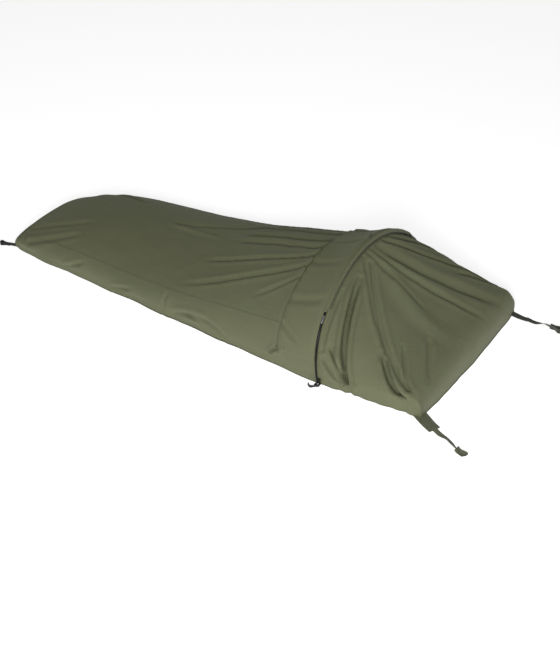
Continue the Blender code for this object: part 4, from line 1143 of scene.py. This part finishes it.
py = HOOP_Y + math.sin(LEAN) * TIP_Z
for name, side in (("near", -1), ("far", 1)):
    # tab under the pole tip, round the eyelet
    xx = np.linspace(SKIN_HALF - 0.004, POLE_HALF + 0.0125, 25)
    yy = np.linspace(-0.0125, 0.0125, 25)
    gx, gy = np.meshgrid(xx, yy)
    gx = side * gx
    z = 0.0012 + 0.0004 * np.cos(gy * 240) + 0.0 * gx
    tab_p = np.stack([gx + SHIFT[0], gy + py + SHIFT[1], z], -1)
    tab = cloth_mesh("hoop_tab_%s_webbing" % name, tab_p, BLACK_WEB)
    bm = bmesh.new()
    bm.from_mesh(tab.data)
    centre_t = Vector((side * POLE_HALF + SHIFT[0], py + SHIFT[1], 0))
    hole = [f for f in bm.faces if (Vector((*f.calc_center_median().xy, 0)) - centre_t).length < 0.0046]
    bmesh.ops.delete(bm, geom=hole, context="FACES")
    bm.to_mesh(tab.data)
    bm.free()
    thicken(tab, 0.0014, 0.0)
    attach(tab, "root")
    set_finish(tab, "webbing_black")
    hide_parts("hoop_tab_" + name)
    pts = []
    for i in range(70):
        u_ = i / 69
        a_ = math.radians(150 * u_)
        pts.append((side * (POLE_HALF + 0.0145 + 0.024 * math.sin(a_)) + SHIFT[0],
                    py - 0.016 + 0.052 * u_ + 0.004 * math.sin(2 * a_) + SHIFT[1], 0.0072))
    route, total = evened(np.array(pts), 70)
    turn = 90 + 16 * np.sin(np.linspace(0, 5, 70))
    tail = webbing_strap("hoop_tail_%s_webbing" % name, route, 0.014, 0.0014, turn, BLACK_WEB,
                         "hoop_tail_" + name, "root", 0.0006)
    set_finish(tail, "webbing_black")

# ---------------------------------------------------------------- crown loop
x0 = 0.050
base_pt = flap_surface(x0 / SKIN["half"], 0.012)
a_ = math.pi * (-0.18 + 1.36 * np.linspace(0, 1, 60))
pts = np.stack([0.0085 * np.cos(a_), 0.0 * a_, 0.0120 + 0.0098 * np.sin(a_)], -1)
pts[:, 2] += 0.0016 - pts[:, 2].min()
pts[:, 0] += 0.0006 * np.sin(np.linspace(0, 9, 60))
loop_obj = tube_mesh("crown_loop_cord", base_pt + pts, 0.0011, BLACK_CORD, 12)
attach(loop_obj, "crown_loop_body")
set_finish(loop_obj, "webbing_black")
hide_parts("crown_loop")

# ---------------------------------------------------------------- carried-over hard parts
for node, mat in (("zip_slider", DARK_METAL), ("zip_pull_tab", PLASTIC), ("zip_stop_near", BRASS),
                  ("zip_stop_far", BRASS), ("hoop_eyelet_near", BRASS), ("hoop_eyelet_far", BRASS),
                  ("flap_snap_cap_near", CAP_OLIVE), ("flap_snap_cap_far", CAP_OLIVE),
                  ("flap_snap_socket_near", BRASS), ("flap_snap_socket_far", BRASS),
                  ("pole_tip_near", PLASTIC), ("pole_tip_far", PLASTIC)):
    obj = frame["nodes"][node]
    for slot_ in obj.material_slots:
        slot_.material = mat
    m = obj.modifiers.new("soft_edges", "BEVEL")
    m.width, m.segments, m.limit_method = 0.00025, 2, "ANGLE"

# ---------------------------------------------------------------- what each cloth rides on
for piece in (ground, foot_end, foot_seam, foot_rows, walls["near"], walls["far"], shell, rows, *seams):
    if piece.name not in ("upper_shell_cloth",):
        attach(piece, "root")
        if "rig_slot" not in piece:
            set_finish(piece, "fabric_olive")
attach(shell, "root")
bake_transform(hood)

# ---------------------------------------------------------------- studio
def area(name, loc, aim, size, power, color=(1, 1, 1)):
    light = bpy.data.lights.new(name, "AREA")
    light.shape, light.size, light.size_y = "RECTANGLE", size[0], size[1]
    light.energy, light.color = power, color
    obj_ = bpy.data.objects.new(name, light)
    bpy.context.scene.collection.objects.link(obj_)
    obj_.location = loc
    obj_.rotation_mode = "QUATERNION"
    obj_.rotation_quaternion = (Vector(aim) - Vector(loc)).to_track_quat("-Z", "Y")
    return obj_


area("key", (-4.0, -2.5, 2.3), (0.0, -0.4, 0.1), (1.5, 1.1), 150.0)
area("overhead", (0.2, 0.6, 4.2), (0.0, 0.0, 0.0), (4.0, 4.0), 16.0)
area("left", (-4.2, 1.4, 1.9), (0.0, 0.4, 0.1), (1.8, 1.2), 8.0)
world = bpy.data.worlds.new("studio")
bpy.context.scene.world = world
world.use_nodes = True
world.node_tree.nodes["Background"].inputs["Color"].default_value = (1.0, 1.0, 1.0, 1)
world.node_tree.nodes["Background"].inputs["Strength"].default_value = 0.24
mesh = bpy.data.meshes.new("floor")
FLOOR_HALF, FLOOR_DROP = 30.0, -0.0008       # the floor sits just below the groundsheet
corners = [(sx * FLOOR_HALF, sy * FLOOR_HALF, FLOOR_DROP) for sx, sy in ((-1, -1), (1, -1), (1, 1), (-1, 1))]
mesh.from_pydata(corners, [], [(0, 1, 2, 3)])
pale = Shader("pale_floor", (0.93, 0.93, 0.93), 0.9)
pale.bsdf.inputs["Emission Color"].default_value = (1, 1, 1, 1)
pale.bsdf.inputs["Emission Strength"].default_value = 0.62
floor = new_object("floor", mesh, pale.mat)
bpy.context.scene.view_settings.view_transform = "Standard"
